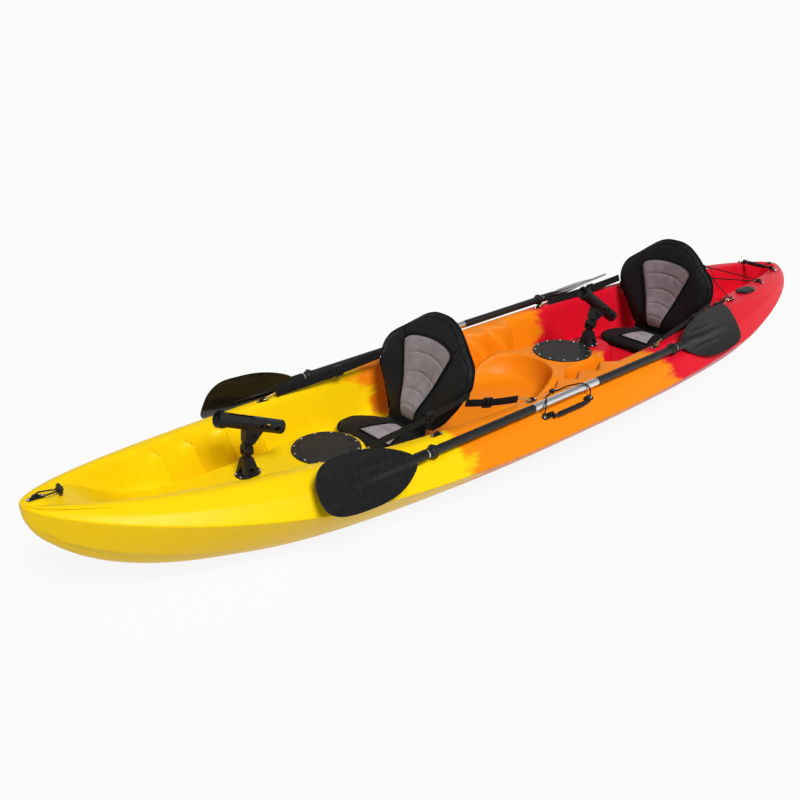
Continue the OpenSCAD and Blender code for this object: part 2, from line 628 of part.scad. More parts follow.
// The sides fall back behind the middle at the waist and at the top
function back_n(u, v) = let (a = u / back_half)
  -a * a * (mix(60, 4, ease(0, 0.45, v)) * ease(0, 0.1, v) + 24 * ease(0.55, 1, v));
function back_h(v) = (back_l + hem_low) * v - hem_low;
back_rows = 20;
back_cols = 14;
module backrest(i) {
  color(black) skin([for (r = [0 : back_rows]) let (
      v = r / back_rows, h = back_h(v), w = back_width(v), t = back_edge(v)
    ) concat([for (k = [0 : back_cols]) let (a = 2 * k / back_cols - 1)
        on_back(i, a * w, h, back_n(a * w, v) + t + 0.55 * back_crown(a, v) + back_quilt(a, v))],
      [for (k = [back_cols : -1 : 0]) let (a = 2 * k / back_cols - 1)
        on_back(i, a * w, h, back_n(a * w, v) - t - 0.35 * back_crown(a, v))])]);
}

// Straps run from the side of each backrest to clips on the deck eyes ahead of it and behind it
strap_v = [0.46, 0.39];
strap_eye = [[0, 2], [3, last_eye]];
clip_r = 8;
clip_wire = 2;
clip_l = 52;
clip_eye_r = 3.5;
web_t = 2;
function eye_hole(i, side) = let (x = eye_x[i])
  [x + (i == last_eye ? 4 : 0), side * rim_mid(x), rim_at(x) + gap + (i == last_eye ? 5.5 : eye_hole_z)];
function strap_top(i, side, end) = let (
    v = strap_v[end], w = max(back_width(v), back_width(v + 0.03) - 2.5) + web_t / 2 + 0.5
  ) on_back(i, side * w, back_h(v), back_n(w, v) - 2 * end);
function strap_dir(i, side, end) = let (d = unit(strap_top(i, side, end) - eye_hole(strap_eye[i][end], side)))
  unit([d[0], d[1], max(d[2], 0.2)]);
function strap_foot(i, side, end) = eye_hole(strap_eye[i][end], side) +
  strap_dir(i, side, end) * (clip_l + clip_eye_r + 0.9);
function strap_route(i, side, end) = let (a = strap_top(i, side, end), b = strap_foot(i, side, end))
  [for (k = [0 : 6]) let (t = k / 6) a + (b - a) * t - [0, 0, 5] * sin(180 * t)];
module seat_straps(i) {
  color(black) for (side = [-1, 1], end = [0, 1])
    webbing(strap_route(i, side, end), [0, 0.25 * side, 1], web_w, web_t);
}
// Direction frame for a piece that lies along a strap
module along(p, d) {
  yaw = atan2(d[1], d[0]);
  pitch = -asin(d[2] / norm(d));
  translate(p) rotate([0, pitch, yaw]) children();
}
buckle = [34, 9, 36];
module seat_buckles(i) {
  color(black) for (side = [-1, 1], end = [0, 1]) {
    r = strap_route(i, side, end);
    along((r[2] + r[3]) / 2, r[3] - r[2]) rotate([side * -14 * sign(r[3][0] - r[2][0]), 0, 0]) difference() {
      cube(buckle, center = true);
      cube([buckle[0] + 2, web_t + 1.6, web_w + 2], center = true);
      for (s = [-1, 1]) translate([s * 8, 0, 0]) cube([7, buckle[1] + 2, web_w - 2], center = true);
    }
  }
}
// Snap clip: a ring through the deck eye, a shank, and a cross bar that holds the webbing
module seat_clips(i) {
  color("goldenrod") for (side = [-1, 1], end = [0, 1]) {
    e = eye_hole(strap_eye[i][end], side);
    d = strap_dir(i, side, end);
    along(e, d) {
      translate([clip_r, 0, 0]) rotate_extrude() translate([clip_r, 0]) circle(r = clip_wire);
      translate([2 * clip_r - 1, 0, 0]) rotate([0, 90, 0]) cylinder(r = 3, h = clip_l - 2 * clip_r + 1);
      translate([clip_l, 0, 0]) cylinder(r = clip_eye_r, h = 5, center = true);
    }
  }
}

// Adjustable rod holders
foot_yaw = [0, 90];
rod_yaw = [0, rear_yaw];
rod_tilt = [front_tilt, rear_tilt];
base_h = 58;
spigot_r = 10;
spigot_l = 30;
cheek_in = 9;
cheek_t = 5;
pin_r = 4;
lug_h = 81;
tube_back = 0.445;
foot_screw = [34, 14];
run_gap = 0.3;
module at_rod(i) { translate([rod_x[i], 0, rod_z[i]]) children(); }
module at_post(i) { at_rod(i) rotate(rod_yaw[i]) children(); }
module at_tilt(i) { at_post(i) translate([0, 0, pivot_h]) rotate([0, -rod_tilt[i], 0]) children(); }
// Base: a foot plate and a tapering block with windows, and a socket for the post
foot = [84, 62, 6];
module rod_base(i) {
  color(black) at_rod(i) rotate(foot_yaw[i]) difference() {
    union() {
      linear_extrude(foot[2]) stadium(foot[0], foot[1]);
      translate([0, 0, foot[2] - 1]) linear_extrude(base_h - foot[2] + 1, scale = [0.58, 0.58])
        square([54, 54], center = true);
    }
    translate([0, 0, base_h - spigot_l]) cylinder(r = spigot_r + 0.1, h = spigot_l + 1);
    for (a = [0, 90]) rotate(a) translate([0, 0, foot[2] + 2]) rotate([90, 0, 0])
      linear_extrude(80, center = true) polygon([[-14, 0], [14, 0], [5, 20], [-5, 20]]);
    for (s = [-1, 1], t = [-1, 1]) translate([s * foot_screw[0], t * foot_screw[1], -1])
      cylinder(r = 2.3, h = foot[2] + 2);
  }
}
module rod_screws() {
  color(steel) for (i = [0, 1], s = [-1, 1], t = [-1, 1])
    at_rod(i) rotate(foot_yaw[i]) translate([s * foot_screw[0], t * foot_screw[1], 0]) {
      translate([0, 0, foot[2]]) cylinder(r1 = 4.5, r2 = 3.2, h = 2.2);
      translate([0, 0, gap]) cylinder(r = 2, h = foot[2]);
    }
}
module rod_post(i) {
  color(black) at_post(i) difference() {
    union() {
      translate([0, 0, base_h - spigot_l + 1]) cylinder(r = spigot_r, h = spigot_l);
      translate([0, 0, base_h + run_gap]) cylinder(r = 15, h = 6);
      translate([0, 0, base_h + 6]) cylinder(r = 13, h = pivot_h - base_h - 26);
      for (s = [-1, 1]) translate([0, s * (cheek_in + cheek_t / 2), 0]) rotate([90, 0, 0])
        linear_extrude(cheek_t, center = true) {
          translate([0, pivot_h]) circle(r = 13);
          translate([-13, pivot_h - 23]) square([26, 23]);
        }
      translate([0, 0, pivot_h - 19]) cube([26, 2 * cheek_in + 1, 8], center = true);
    }
    translate([0, 0, pivot_h]) rotate([90, 0, 0]) cylinder(r = pin_r + 0.1, h = 60, center = true);
  }
}
// Tube: a long slot for the reel, lattice windows in the rear half, and a tapered bracket down to the pivot
tube_in = tube_r - tube_wall;
tube_x0 = -tube_l * tube_back;
bracket_half = 15;
collar_l = 26;
module rod_tube(i) {
  color(black) at_tilt(i) difference() {
    union() {
      translate([tube_x0, 0, lug_h]) rotate([0, 90, 0]) cylinder(r = tube_r, h = tube_l);
      rotate([90, 0, 0]) linear_extrude(2 * (cheek_in - run_gap), center = true) {
        circle(r = 12);
        polygon([[-12, 0], [12, 0], [30, lug_h - tube_r + 6], [-34, lug_h - tube_r + 6]]);
      }
      rotate([90, 0, 0]) linear_extrude(2 * bracket_half, center = true)
        polygon([[-16, 18], [16, 18], [32, lug_h - tube_r + 6], [-36, lug_h - tube_r + 6]]);
    }
    for (t = [-1, 1]) translate([0, t * (bracket_half + 4), 0]) rotate([90, 0, 0])
      linear_extrude(16, center = true) polygon([[-8, 25], [8, 25], [14, 48], [-16, 48]]);
    translate([tube_x0 + 4, 0, lug_h]) rotate([0, 90, 0]) cylinder(r = tube_in, h = tube_l);
    translate([tube_x0 + tube_l - 62, 0, lug_h + tube_r]) cube([126, 22, 2 * tube_r], center = true);
    for (k = [0 : 2]) translate([tube_x0 + 34 + 30 * k, 0, lug_h]) rotate([90, 0, 0])
      linear_extrude(4 * tube_r, center = true)
        polygon(k % 2 == 0 ? [[-11, -6], [9, -6], [-11, 10]] : [[-9, 8], [11, 8], [11, -8]]);
    rotate([90, 0, 0]) cylinder(r = pin_r + 0.1, h = 60, center = true);
  }
}
module rod_collar(i) {
  x = tube_x0 + tube_l - collar_l - 2;
  color(black) at_tilt(i) translate([x, 0, lug_h]) rotate([0, 90, 0]) difference() {
    rotate_extrude() polygon([[tube_r + run_gap, 0], [tube_r + 3.2, 0], [tube_r + 4, 2],
      [tube_r + 4, collar_l - 2], [tube_r + 3.2, collar_l], [tube_r + run_gap, collar_l]]);
    translate([-tube_r, 0, collar_l / 2]) cube([2 * tube_r, 23, collar_l + 2], center = true);
    for (a = [60 : 20 : 300]) rotate(a + 180) translate([tube_r + 4.6, 0, -1])
      cylinder(r = 1.4, h = collar_l + 2);
  }
}
module rod_knob(i) {
  color(black) at_post(i) translate([0, 0, pivot_h]) rotate([-90, 0, 0]) {
    translate([0, 0, -cheek_in - cheek_t]) cylinder(r = pin_r, h = 2 * (cheek_in + cheek_t) + 6);
    translate([0, 0, cheek_in + cheek_t + run_gap]) cylinder(r = 8, h = 5);
    translate([0, 0, cheek_in + cheek_t + 5]) linear_extrude(9) {
      circle(r = 11);
      for (k = [0 : 2]) rotate(120 * k) translate([10, 0]) circle(r = 6);
    }
  }
}

// Paddles lie on the ledges, each with a straight shaft that rests on the highest points below it
paddle_slope = -0.018;
paddle_mid = 127;
paddle_shift = 22;
drip_r = shaft_r + 9;
function ledge_support(x, r) = let (s = ledge_slope(x), d = fold_y(x) - paddle_y)
  fold_z(x) + d * tan(s) + r / cos(s) - paddle_slope * (x - paddle_mid);
shaft_half = paddle_l / 2 - blade_l + paddle_shift;
shaft_run = [for (x = [paddle_mid - shaft_half : bay / 2 : paddle_mid + shaft_half]) x];
ring_x = paddle_l / 2 - blade_l - 26;
ring_run = [for (e = [-1, 1], t = [-1, 1], k = [-3 : 2]) paddle_mid + e * paddle_shift + t * ring_x + k];
paddle_z0 = 0.5 + max(concat([for (x = shaft_run) ledge_support(x, shaft_r)],
  [for (x = ring_run) ledge_support(x, drip_r)]));
function paddle_z(x) = paddle_z0 + paddle_slope * (x - paddle_mid);
// Roll of the blades about the shaft, bow blade and stern blade, on each side
port_roll = [40, 58];
starboard_roll = [66, 26];
module at_paddle(side) {
  x = paddle_mid + side * paddle_shift;
  translate([x, side * paddle_y, paddle_z(x)]) rotate([0, -atan(paddle_slope), 0]) children();
}
module paddle_shaft(side) {
  color(steel) at_paddle(side) rotate([0, 90, 0]) difference() {
    union() {
      cylinder(r = shaft_r - 0.8, h = 2 * ring_x + 70, center = true);
      cylinder(r = shaft_r, h = alu_l, center = true);
    }
    cylinder(r = shaft_r - 2.6, h = 2 * ring_x + 90, center = true);
  }
}
grip_l = ring_x + 20 - alu_l / 2;
module paddle_grips(side) {
  color(black) at_paddle(side) for (s = [-1, 1])
    translate([s * (alu_l / 2 + grip_l / 2 + gap / 2), 0, 0]) rotate([0, 90, 0]) difference() {
      cylinder(r = shaft_r, h = grip_l, center = true);
      cylinder(r = shaft_r - 0.8 + 0.1, h = grip_l + 2, center = true);
    }
}
module paddle_rings(side) {
  color(black) at_paddle(side) for (s = [-1, 1]) translate([s * ring_x, 0, 0]) rotate([0, 90, 0])
    rotate_extrude() polygon([[shaft_r + 0.2, -13], [shaft_r + 4, -12], [shaft_r + 4, -5], [drip_r, -3],
      [drip_r, 0], [shaft_r + 5, 2], [shaft_r + 3.5, 12], [shaft_r + 0.2, 13]]);
}
// Blade: dished, with a longer lower edge and a spine that fades towards the tip
function blade_edge(t, low) = let (w = blade_w / 2)
  w * (low ? 1.04 : 0.96) * pow(max(0.0001, 1 - pow(1 - min(1, t / 0.62), 2.2)), 0.75) *
  pow(max(0.02, 1 - pow(max(0, (t - (low ? 0.74 : 0.60)) / (low ? 0.26 : 0.40)), 2.6)), 0.5);
function blade_dish(a, t) = 13 * a * a * ease(0, 0.5, t) + 10 * t * t;
function blade_spine(a, t) = 10 * exp(-pow(a / 0.16, 2)) * (1 - ease(0.25, 0.85, t));
blade_rows = 16;
blade_cols = 10;
socket_l = 60;
module blade() {
  difference() {
    union() {
      skin([for (r = [0 : blade_rows])
        let (t = min(0.995, 0.04 + 0.96 * r / blade_rows), x = 34 + (blade_l - 34) * t)
        concat([for (k = [blade_cols : -1 : 0]) let (a = 2 * k / blade_cols - 1, w = blade_edge(t, a < 0))
            [x, a * w, blade_dish(a, t) + 2 + blade_spine(a, t)]],
          [for (k = [0 : blade_cols]) let (a = 2 * k / blade_cols - 1, w = blade_edge(t, a < 0))
            [x, a * w, blade_dish(a, t) - 2 - 0.7 * blade_spine(a, t)]])]);
      rotate([0, 90, 0]) cylinder(r = shaft_r + 2, h = socket_l);
      translate([socket_l, 0, 0]) rotate([0, 90, 0]) cylinder(r1 = shaft_r + 2, r2 = 5, h = 170);
    }
    translate([-1, 0, 0]) rotate([0, 90, 0]) cylinder(r = shaft_r - 0.7, h = socket_l - 12);
  }
}
module paddle_blades(side) {
  roll = side > 0 ? port_roll : starboard_roll;
  color(black) at_paddle(side) for (k = [0, 1]) rotate(k == 0 ? 0 : 180)
    translate([paddle_l / 2 - blade_l, 0, 0]) rotate([-side * roll[k] * (k == 0 ? 1 : -1), 0, 0])
      mirror([0, (k == 0) == (side > 0) ? 0 : 1, 0]) blade();
}

// Drain plug on the stern deck
module drain_plug() {
  color(black) translate([plug_x, 0, plug_z]) {
    cylinder(r = 13, h = 3);
    linear_extrude(8) stadium(18, 5);
  }
}

hull();
hatch_ring(0);  // front_hatch_ring
hatch_lid(0);  // front_hatch_lid
hatch_gasket(0);  // front_hatch_gasket
hatch_bin(0);  // front_hatch_bin
hatch_ring(1);  // rear_hatch_ring
hatch_lid(1);  // rear_hatch_lid
hatch_gasket(1);  // rear_hatch_gasket
hatch_bin(1);  // rear_hatch_bin
hatch_screws();
deck_eyes();
cargo_eyes();
deck_rivets();
bow_toggle();
bow_cord();
stern_handle_lugs();
stern_handle();
side_handle_lugs(1);  // port_handle_lugs
side_handle_lugs(-1);  // starboard_handle_lugs
side_handle(1);  // port_handle
side_handle(-1);  // starboard_handle
keeper_bungee(1);  // port_keeper_bungee
keeper_bungee(-1);  // starboard_keeper_bungee
keeper_studs();
cargo_bungee();
flush_holder(1);  // port_flush_holder
flush_holder(-1);  // starboard_flush_holder
flush_cap(1);  // port_flush_cap
flush_cap(-1);  // starboard_flush_cap
seat_pad(0);  // front_seat_pad
seat_pad(1);  // rear_seat_pad
backrest(0);  // front_backrest
backrest(1);  // rear_backrest
seat_straps(0);  // front_seat_straps
seat_straps(1);  // rear_seat_straps
seat_buckles(0);  // front_seat_buckles
seat_buckles(1);  // rear_seat_buckles
seat_clips(0);  // front_seat_clips
seat_clips(1);  // rear_seat_clips
rod_base(0);  // front_rod_base
rod_post(0);  // front_rod_post
rod_tube(0);  // front_rod_tube
rod_collar(0);  // front_rod_collar
rod_knob(0);  // front_rod_knob
rod_base(1);  // rear_rod_base
rod_post(1);  // rear_rod_post
rod_tube(1);  // rear_rod_tube
rod_collar(1);  // rear_rod_collar
rod_knob(1);  // rear_rod_knob
rod_screws();
paddle_shaft(1);  // port_paddle_shaft
paddle_grips(1);  // port_paddle_grips
paddle_blades(1);  // port_paddle_blades
paddle_rings(1);  // port_paddle_rings
paddle_shaft(-1);  // starboard_paddle_shaft
paddle_grips(-1);  // starboard_paddle_grips
paddle_blades(-1);  // starboard_paddle_blades
paddle_rings(-1);  // starboard_paddle_rings
drain_plug();
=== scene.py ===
"""Looks of the tandem kayak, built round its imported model.

Lengths in the shape functions are millimetres, as in the part's source; objects are in metres.
"""

import math

import bmesh
import bpy
import numpy as np
from mathutils import Matrix, Vector
from mathutils.bvhtree import BVHTree


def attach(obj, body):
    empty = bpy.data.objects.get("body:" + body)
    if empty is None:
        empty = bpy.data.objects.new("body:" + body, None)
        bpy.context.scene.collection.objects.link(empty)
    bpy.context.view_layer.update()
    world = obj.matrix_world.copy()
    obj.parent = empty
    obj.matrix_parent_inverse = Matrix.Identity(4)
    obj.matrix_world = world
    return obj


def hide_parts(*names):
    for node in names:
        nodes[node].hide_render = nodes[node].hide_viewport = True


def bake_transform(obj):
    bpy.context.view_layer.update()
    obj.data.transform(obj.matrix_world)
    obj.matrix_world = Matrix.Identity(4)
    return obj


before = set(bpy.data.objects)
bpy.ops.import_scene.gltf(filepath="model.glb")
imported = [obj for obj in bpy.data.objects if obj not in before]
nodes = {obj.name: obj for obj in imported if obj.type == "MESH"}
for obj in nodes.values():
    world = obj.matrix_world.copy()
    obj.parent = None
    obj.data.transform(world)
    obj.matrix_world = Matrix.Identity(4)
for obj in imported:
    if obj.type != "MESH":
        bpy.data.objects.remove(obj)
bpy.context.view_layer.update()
scene = bpy.context.scene
MM = 0.001


# Camera at the photograph's angle
def make_camera():
    data = bpy.data.cameras.new("camera")
    data.lens = 41.19
    data.sensor_width = 36.0
    camera = bpy.data.objects.new("camera", data)
    scene.collection.objects.link(camera)
    camera.location = (2.4575, 2.2227, 1.6213)
    look = Vector((-0.5823, -0.6949, -0.4218))
    camera.rotation_euler = look.to_track_quat("-Z", "Y").to_euler()
    scene.camera = camera


make_camera()


# Curves
def ease(a, b, t):
    u = np.clip((np.asarray(t, float) - a) / (b - a), 0.0, 1.0)
    return u * u * (3 - 2 * u)


def mix(a, b, t):
    return a + (b - a) * t


def unit(v):
    v = np.asarray(v, float)
    return v / np.linalg.norm(v)


def chaikin(points, rounds=2):
    """Rounds the corners of an open route and keeps its ends."""
    p = np.asarray(points, float)
    for _ in range(rounds):
        q = [p[0]]
        for a, b in zip(p[:-1], p[1:]):
            q.append(a * 0.75 + b * 0.25)
            q.append(a * 0.25 + b * 0.75)
        q.append(p[-1])
        p = np.array(q)
    return p


def spline(points, m):
    """Smooth route through the points, with m steps from each one to the next."""
    p = np.asarray(points, float)
    n = len(p)
    out = []
    for i in range(n - 1):
        a = p[max(i - 1, 0)]
        b = p[i]
        c = p[i + 1]
        d = p[min(i + 2, n - 1)]
        for k in range(m):
            t = k / m
            line = 2 * b + (c - a) * t
            bend = (2 * a - 5 * b + 4 * c - d) * t * t
            out.append(0.5 * (line + bend + (3 * b - a - 3 * c + d) * t ** 3))
    out.append(p[-1])
    return np.array(out)


# Lines of the hull, repeated from the part's source
BOW = 1900.0
STERN = 1866.0
WELL_FLOOR = 118
STEP_PITCH = 120
FRONT_STEPS = (1080, 1560)
REAR_STEPS = (-240, 120)
HATCHES = ((915, 190), (-263, 235))
ROD_BASES = ((1216, 203), (-424, 226))
CAP_X = -1300


def fold_y(x):
    x = np.asarray(x, float)
    fore = np.clip((x - 66) / (BOW - 66), 0, 1)
    aft = np.clip((66 - x) / (STERN + 66), 0, 1)
    return 406 * np.where(x > 66, (1 - fore ** 2.42) ** 0.65, (1 - aft ** 2.40) ** 0.66)


def fold_z(x):
    x = np.asarray(x, float)
    fore = np.clip((x - 380) / (BOW - 380), 0, None)
    aft = np.clip((380 - x) / (STERN + 380), 0, None)
    return 240 + np.where(x > 380, 118 * fore ** 2.5, 60 * aft ** 1.2)


def quarter(s):
    return 1 - np.sqrt(np.clip(1 - s * s, 0, None))


def keel_z(x):
    x = np.asarray(x, float)
    fore = 22 * ease(BOW - 1000, BOW - 400, x) + 328 * quarter(np.clip(x - BOW + 640, 0, None) / 640)
    aft = 260 * quarter(np.clip(450 - STERN - x, 0, None) / 450)
    return np.where(x > 0, fore, aft)


def taper(x):
    return np.minimum(1, fold_y(x) / 330)


def rim_z(x):
    return fold_z(x) + 40 * taper(x)


def rim_out(x):
    return fold_y(x) - 70 * taper(x)


def tooth(x, low, high):
    u = (x - low) / STEP_PITCH
    return np.where((x <= low) | (x >= high), 0, 2 * np.abs(u - np.floor(u + 0.5)))


def teeth(x):
    x = np.asarray(x, float)
    return tooth(x, *FRONT_STEPS) + tooth(x, *REAR_STEPS)


def rim_in(x):
    x = np.asarray(x, float)
    return rim_out(x) - taper(x) * (mix(40, 95, ease(1020, 1180, -x)) + 0.3 * 32 * teeth(x))


def rim_mid(x):
    return (rim_out(x) + rim_in(x)) / 2


def inner_edge(x):
    """Inner edge of the rim as the hull shows it: wavy beside the child seat."""
    return rim_in(x) + taper(x) * (6 - 26 * tooth(x, *REAR_STEPS))


def foot_step(x, low, high):
    """Saw-tooth foot rest: it swells towards the stern and drops back at once."""
    f = (x - low) / STEP_PITCH - np.floor((x - low) / STEP_PITCH)
    return np.where((x <= low) | (x >= high), 0, np.minimum(f / 0.24, (1 - f) / 0.76))


def wall_depth(x, a):
    """How far down the inner wall a point lies: nought at the rim, one at the foot."""
    below = np.clip((rim_in(x) - a) / 90, 0, 1)
    lean = x + 85 * below
    steps = 34 * foot_step(lean, *FRONT_STEPS) + 20 * foot_step(lean, *REAR_STEPS)
    hollow = (1 - ease(-530, -440, x)) * ease(-900, -800, x)
    broad = ease(-530, -440, x) * (1 - ease(150, 260, x))
    run = np.maximum((64 + 12 * broad - 24 * hollow) * taper(x), 1e-6)
    return (inner_edge(x) - taper(x) * steps * ease(0, 0.5, below) - a) / run


def floor_at(x):
    lipped = rim_z(x) - 14 * taper(x)
    dish = mix(WELL_FLOOR, 205, ease(BOW - 570, BOW - 420, x))
    bow = mix(dish, lipped, ease(BOW - 400, BOW - 100, x))
    well = mix(bow, 190, ease(1000, 1080, -x))
    return mix(well, lipped, ease(STERN - 126, STERN - 46, -x))


# Flat seats under the fittings: place along the hull, height and radius
BOSSES = [(x, z, 125.5) for x, z in HATCHES] + [(x, z, 46) for x, z in ROD_BASES]
BOSSES += [(BOW - 44, 361, 24), (46 - STERN, 306, 18)]


def deck_z(x, y):
    """Height of the deck with its console, platform, child seat and the seats of the fittings."""
    x = np.asarray(x, float)
    a = np.abs(y)
    rim = rim_z(x)
    bowl = mix(rim, np.minimum(rim, floor_at(x)), ease(0, 1, wall_depth(x, a)))
    console_z = mix(190, 203, ease(1040, 1150, x)) - 3
    aft_z = mix(226, 235, ease(-360, -300, x)) - 3
    top = mix(aft_z, 165, ease(-60, 130, x))
    dish = mix(165, WELL_FLOOR, ease(150, 380, x))
    r = np.where(x < 915, np.hypot(x - 915, a), a)
    w = mix(128, 95, ease(1005, 1125, x))
    console = (1 - ease(0, 1, (r - w) / 28)) * (1 - ease(BOW - 460, BOW - 340, x))
    r = np.where(x > 40, np.hypot(x - 40, a), np.where(x < -424, np.hypot(x + 424, a), a))
    w = mix(mix(88, 126, ease(-404, -364, x)), 172, ease(-150, -60, x))
    platform = 1 - ease(0, 1, (r - w) / 34)
    r = np.where(x < 40, np.hypot(x - 40, a), a)
    child = 1 - np.clip((r - 92) / 68, 0, 1) ** 2.2
    z = mix(bowl, np.maximum(bowl, console_z), console)
    z = mix(z, np.maximum(z, top), platform)
    hollow = np.maximum(dish - 12 * (1 - ease(60, 200, x)), WELL_FLOOR)
    z = np.where((x < -150) | (x > 380), z, mix(z, hollow, child))
    lip = np.exp(-((r - 166) / 8) ** 2) * (1 - ease(30, 100, x)) * ease(-150, -128, x)
    z = z + 5 * lip
    for bx, bz, br in BOSSES:
        lift = 1 - ease(br - 3, br + 9, np.hypot(x - bx, a))
        z = np.maximum(z, mix(z, bz, lift))
    return z


# Meshes
def mesh_object(name, verts, faces, materials, sharp=None, index=None):
    mesh = bpy.data.meshes.new(name)
    points = [tuple(v) for v in np.asarray(verts, float)]
    mesh.from_pydata(points, [], [tuple(int(k) for k in f) for f in faces])
    for m in materials:
        mesh.materials.append(m)
    if index is not None:
        mesh.polygons.foreach_set("material_index", np.asarray(index, np.int32))
    mesh.validate()
    mesh.shade_smooth()
    if sharp is not None:
        mesh.set_sharp_from_angle(angle=math.radians(sharp))
    obj = bpy.data.objects.new(name, mesh)
    scene.collection.objects.link(obj)
    return obj


def ring_faces(rows, n):
    """Quads over rows of n points, each row one closed ring, facing outwards, with a fan at each end."""
    i, j = np.meshgrid(np.arange(rows - 1), np.arange(n), indexing="ij")
    i, j = i.ravel(), j.ravel()
    k = (j + 1) % n
    faces = np.stack([i * n + j, i * n + k, (i + 1) * n + k, (i + 1) * n + j], 1).tolist()
    e = rows * n
    for j in range(n):
        k = (j + 1) % n
        faces.append([e, k, j])
        faces.append([e + 1, (rows - 1) * n + j, (rows - 1) * n + k])
    return faces


def skin(rings):
    """Points and faces of a closed skin over rings, with a fan about the middle of each end."""
    rings = np.asarray(rings, float)
    rows, n = rings.shape[:2]
    verts = np.concatenate([rings.reshape(-1, 3), [rings[0].mean(0)], [rings[-1].mean(0)]])
    return verts, ring_faces(rows, n)


def route_frames(path, across=None):
    """Direction, side and up along a route; the side stays near across, or turns little."""
    p = np.asarray(path, float)
    d = np.gradient(p, axis=0)
    d /= np.linalg.norm(d, axis=1)[:, None]
    sides = []
    last = None
    for t in d:
        if across is not None:
            s = np.asarray(across, float)
        elif last is None:
            s = np.array([0, 0, 1.0]) if abs(t[2]) < 0.9 else np.array([1.0, 0, 0])
        else:
            s = last
        s = unit(s - t * s.dot(t))
        sides.append(s)
        last = s
    sides = np.array(sides)
    return d, sides, np.cross(d, sides)


def tube(path, radius, n):
    """Closed round tube of n sides along a route."""
    p = np.asarray(path, float)
    _, a, b = route_frames(p)
    r = np.broadcast_to(np.asarray(radius, float), (len(p),))
    w = 2 * np.pi * np.arange(n) / n
    spokes = np.cos(w)[None, :, None] * a[:, None] + np.sin(w)[None, :, None] * b[:, None]
    return skin(p[:, None] + r[:, None, None] * spokes)


def webbing(path, across, width, thick):
    """Closed flat band along a route, with rounded edges and its width along across."""
    p = np.asarray(path, float)
    _, a, b = route_frames(p, across)
    w, t = width / 2, thick / 2
    lower = [(-w, -t * 0.4), (-w + t * 0.6, -t), (-w * 0.5, -t), (0, -t)]
    lower += [(w * 0.5, -t), (w - t * 0.6, -t), (w, -t * 0.4)]
    outline = lower + [(-u, -v) for u, v in lower]
    rings = np.stack([p + u * a + v * b for u, v in outline], 1)
    return skin(rings)


def rounded_box(size, radius, matrix=None):
    """A box with rounded edges, centred on the origin or placed by a matrix."""
    bm = bmesh.new()
    bmesh.ops.create_cube(bm, size=1.0)
    bmesh.ops.scale(bm, vec=Vector(size), verts=bm.verts)
    bmesh.ops.bevel(bm, geom=bm.edges[:], offset=radius, segments=2, profile=0.5, affect="EDGES")
    if matrix is not None:
        bm.transform(matrix)
    bm.verts.ensure_lookup_table()
    verts = np.array([v.co for v in bm.verts], float)
    faces = [[v.index for v in f.verts] for f in bm.faces]
    bm.free()
    return verts, faces


def join(parts):
    """One list of points and faces from several, with the part that each face came from."""
    verts, faces, index = [], [], []
    base = 0
    for kind, (v, f) in parts:
        verts.append(np.asarray(v, float))
        faces += [[base + k for k in g] for g in f]
        index += [kind] * len(f)
        base += len(v)
    return np.concatenate(verts), faces, index


def apply_modifiers(obj):
    graph = bpy.context.evaluated_depsgraph_get()
    mesh = bpy.data.meshes.new_from_object(obj.evaluated_get(graph))
    obj.modifiers.clear()
    old = obj.data
    obj.data = mesh
    bpy.data.meshes.remove(old)


def coords(mesh):
    co = np.zeros(len(mesh.vertices) * 3)
    mesh.vertices.foreach_get("co", co)
    return co.reshape(-1, 3)


def set_coords(mesh, co):
    mesh.vertices.foreach_set("co", np.asarray(co, float).ravel())
    mesh.update()


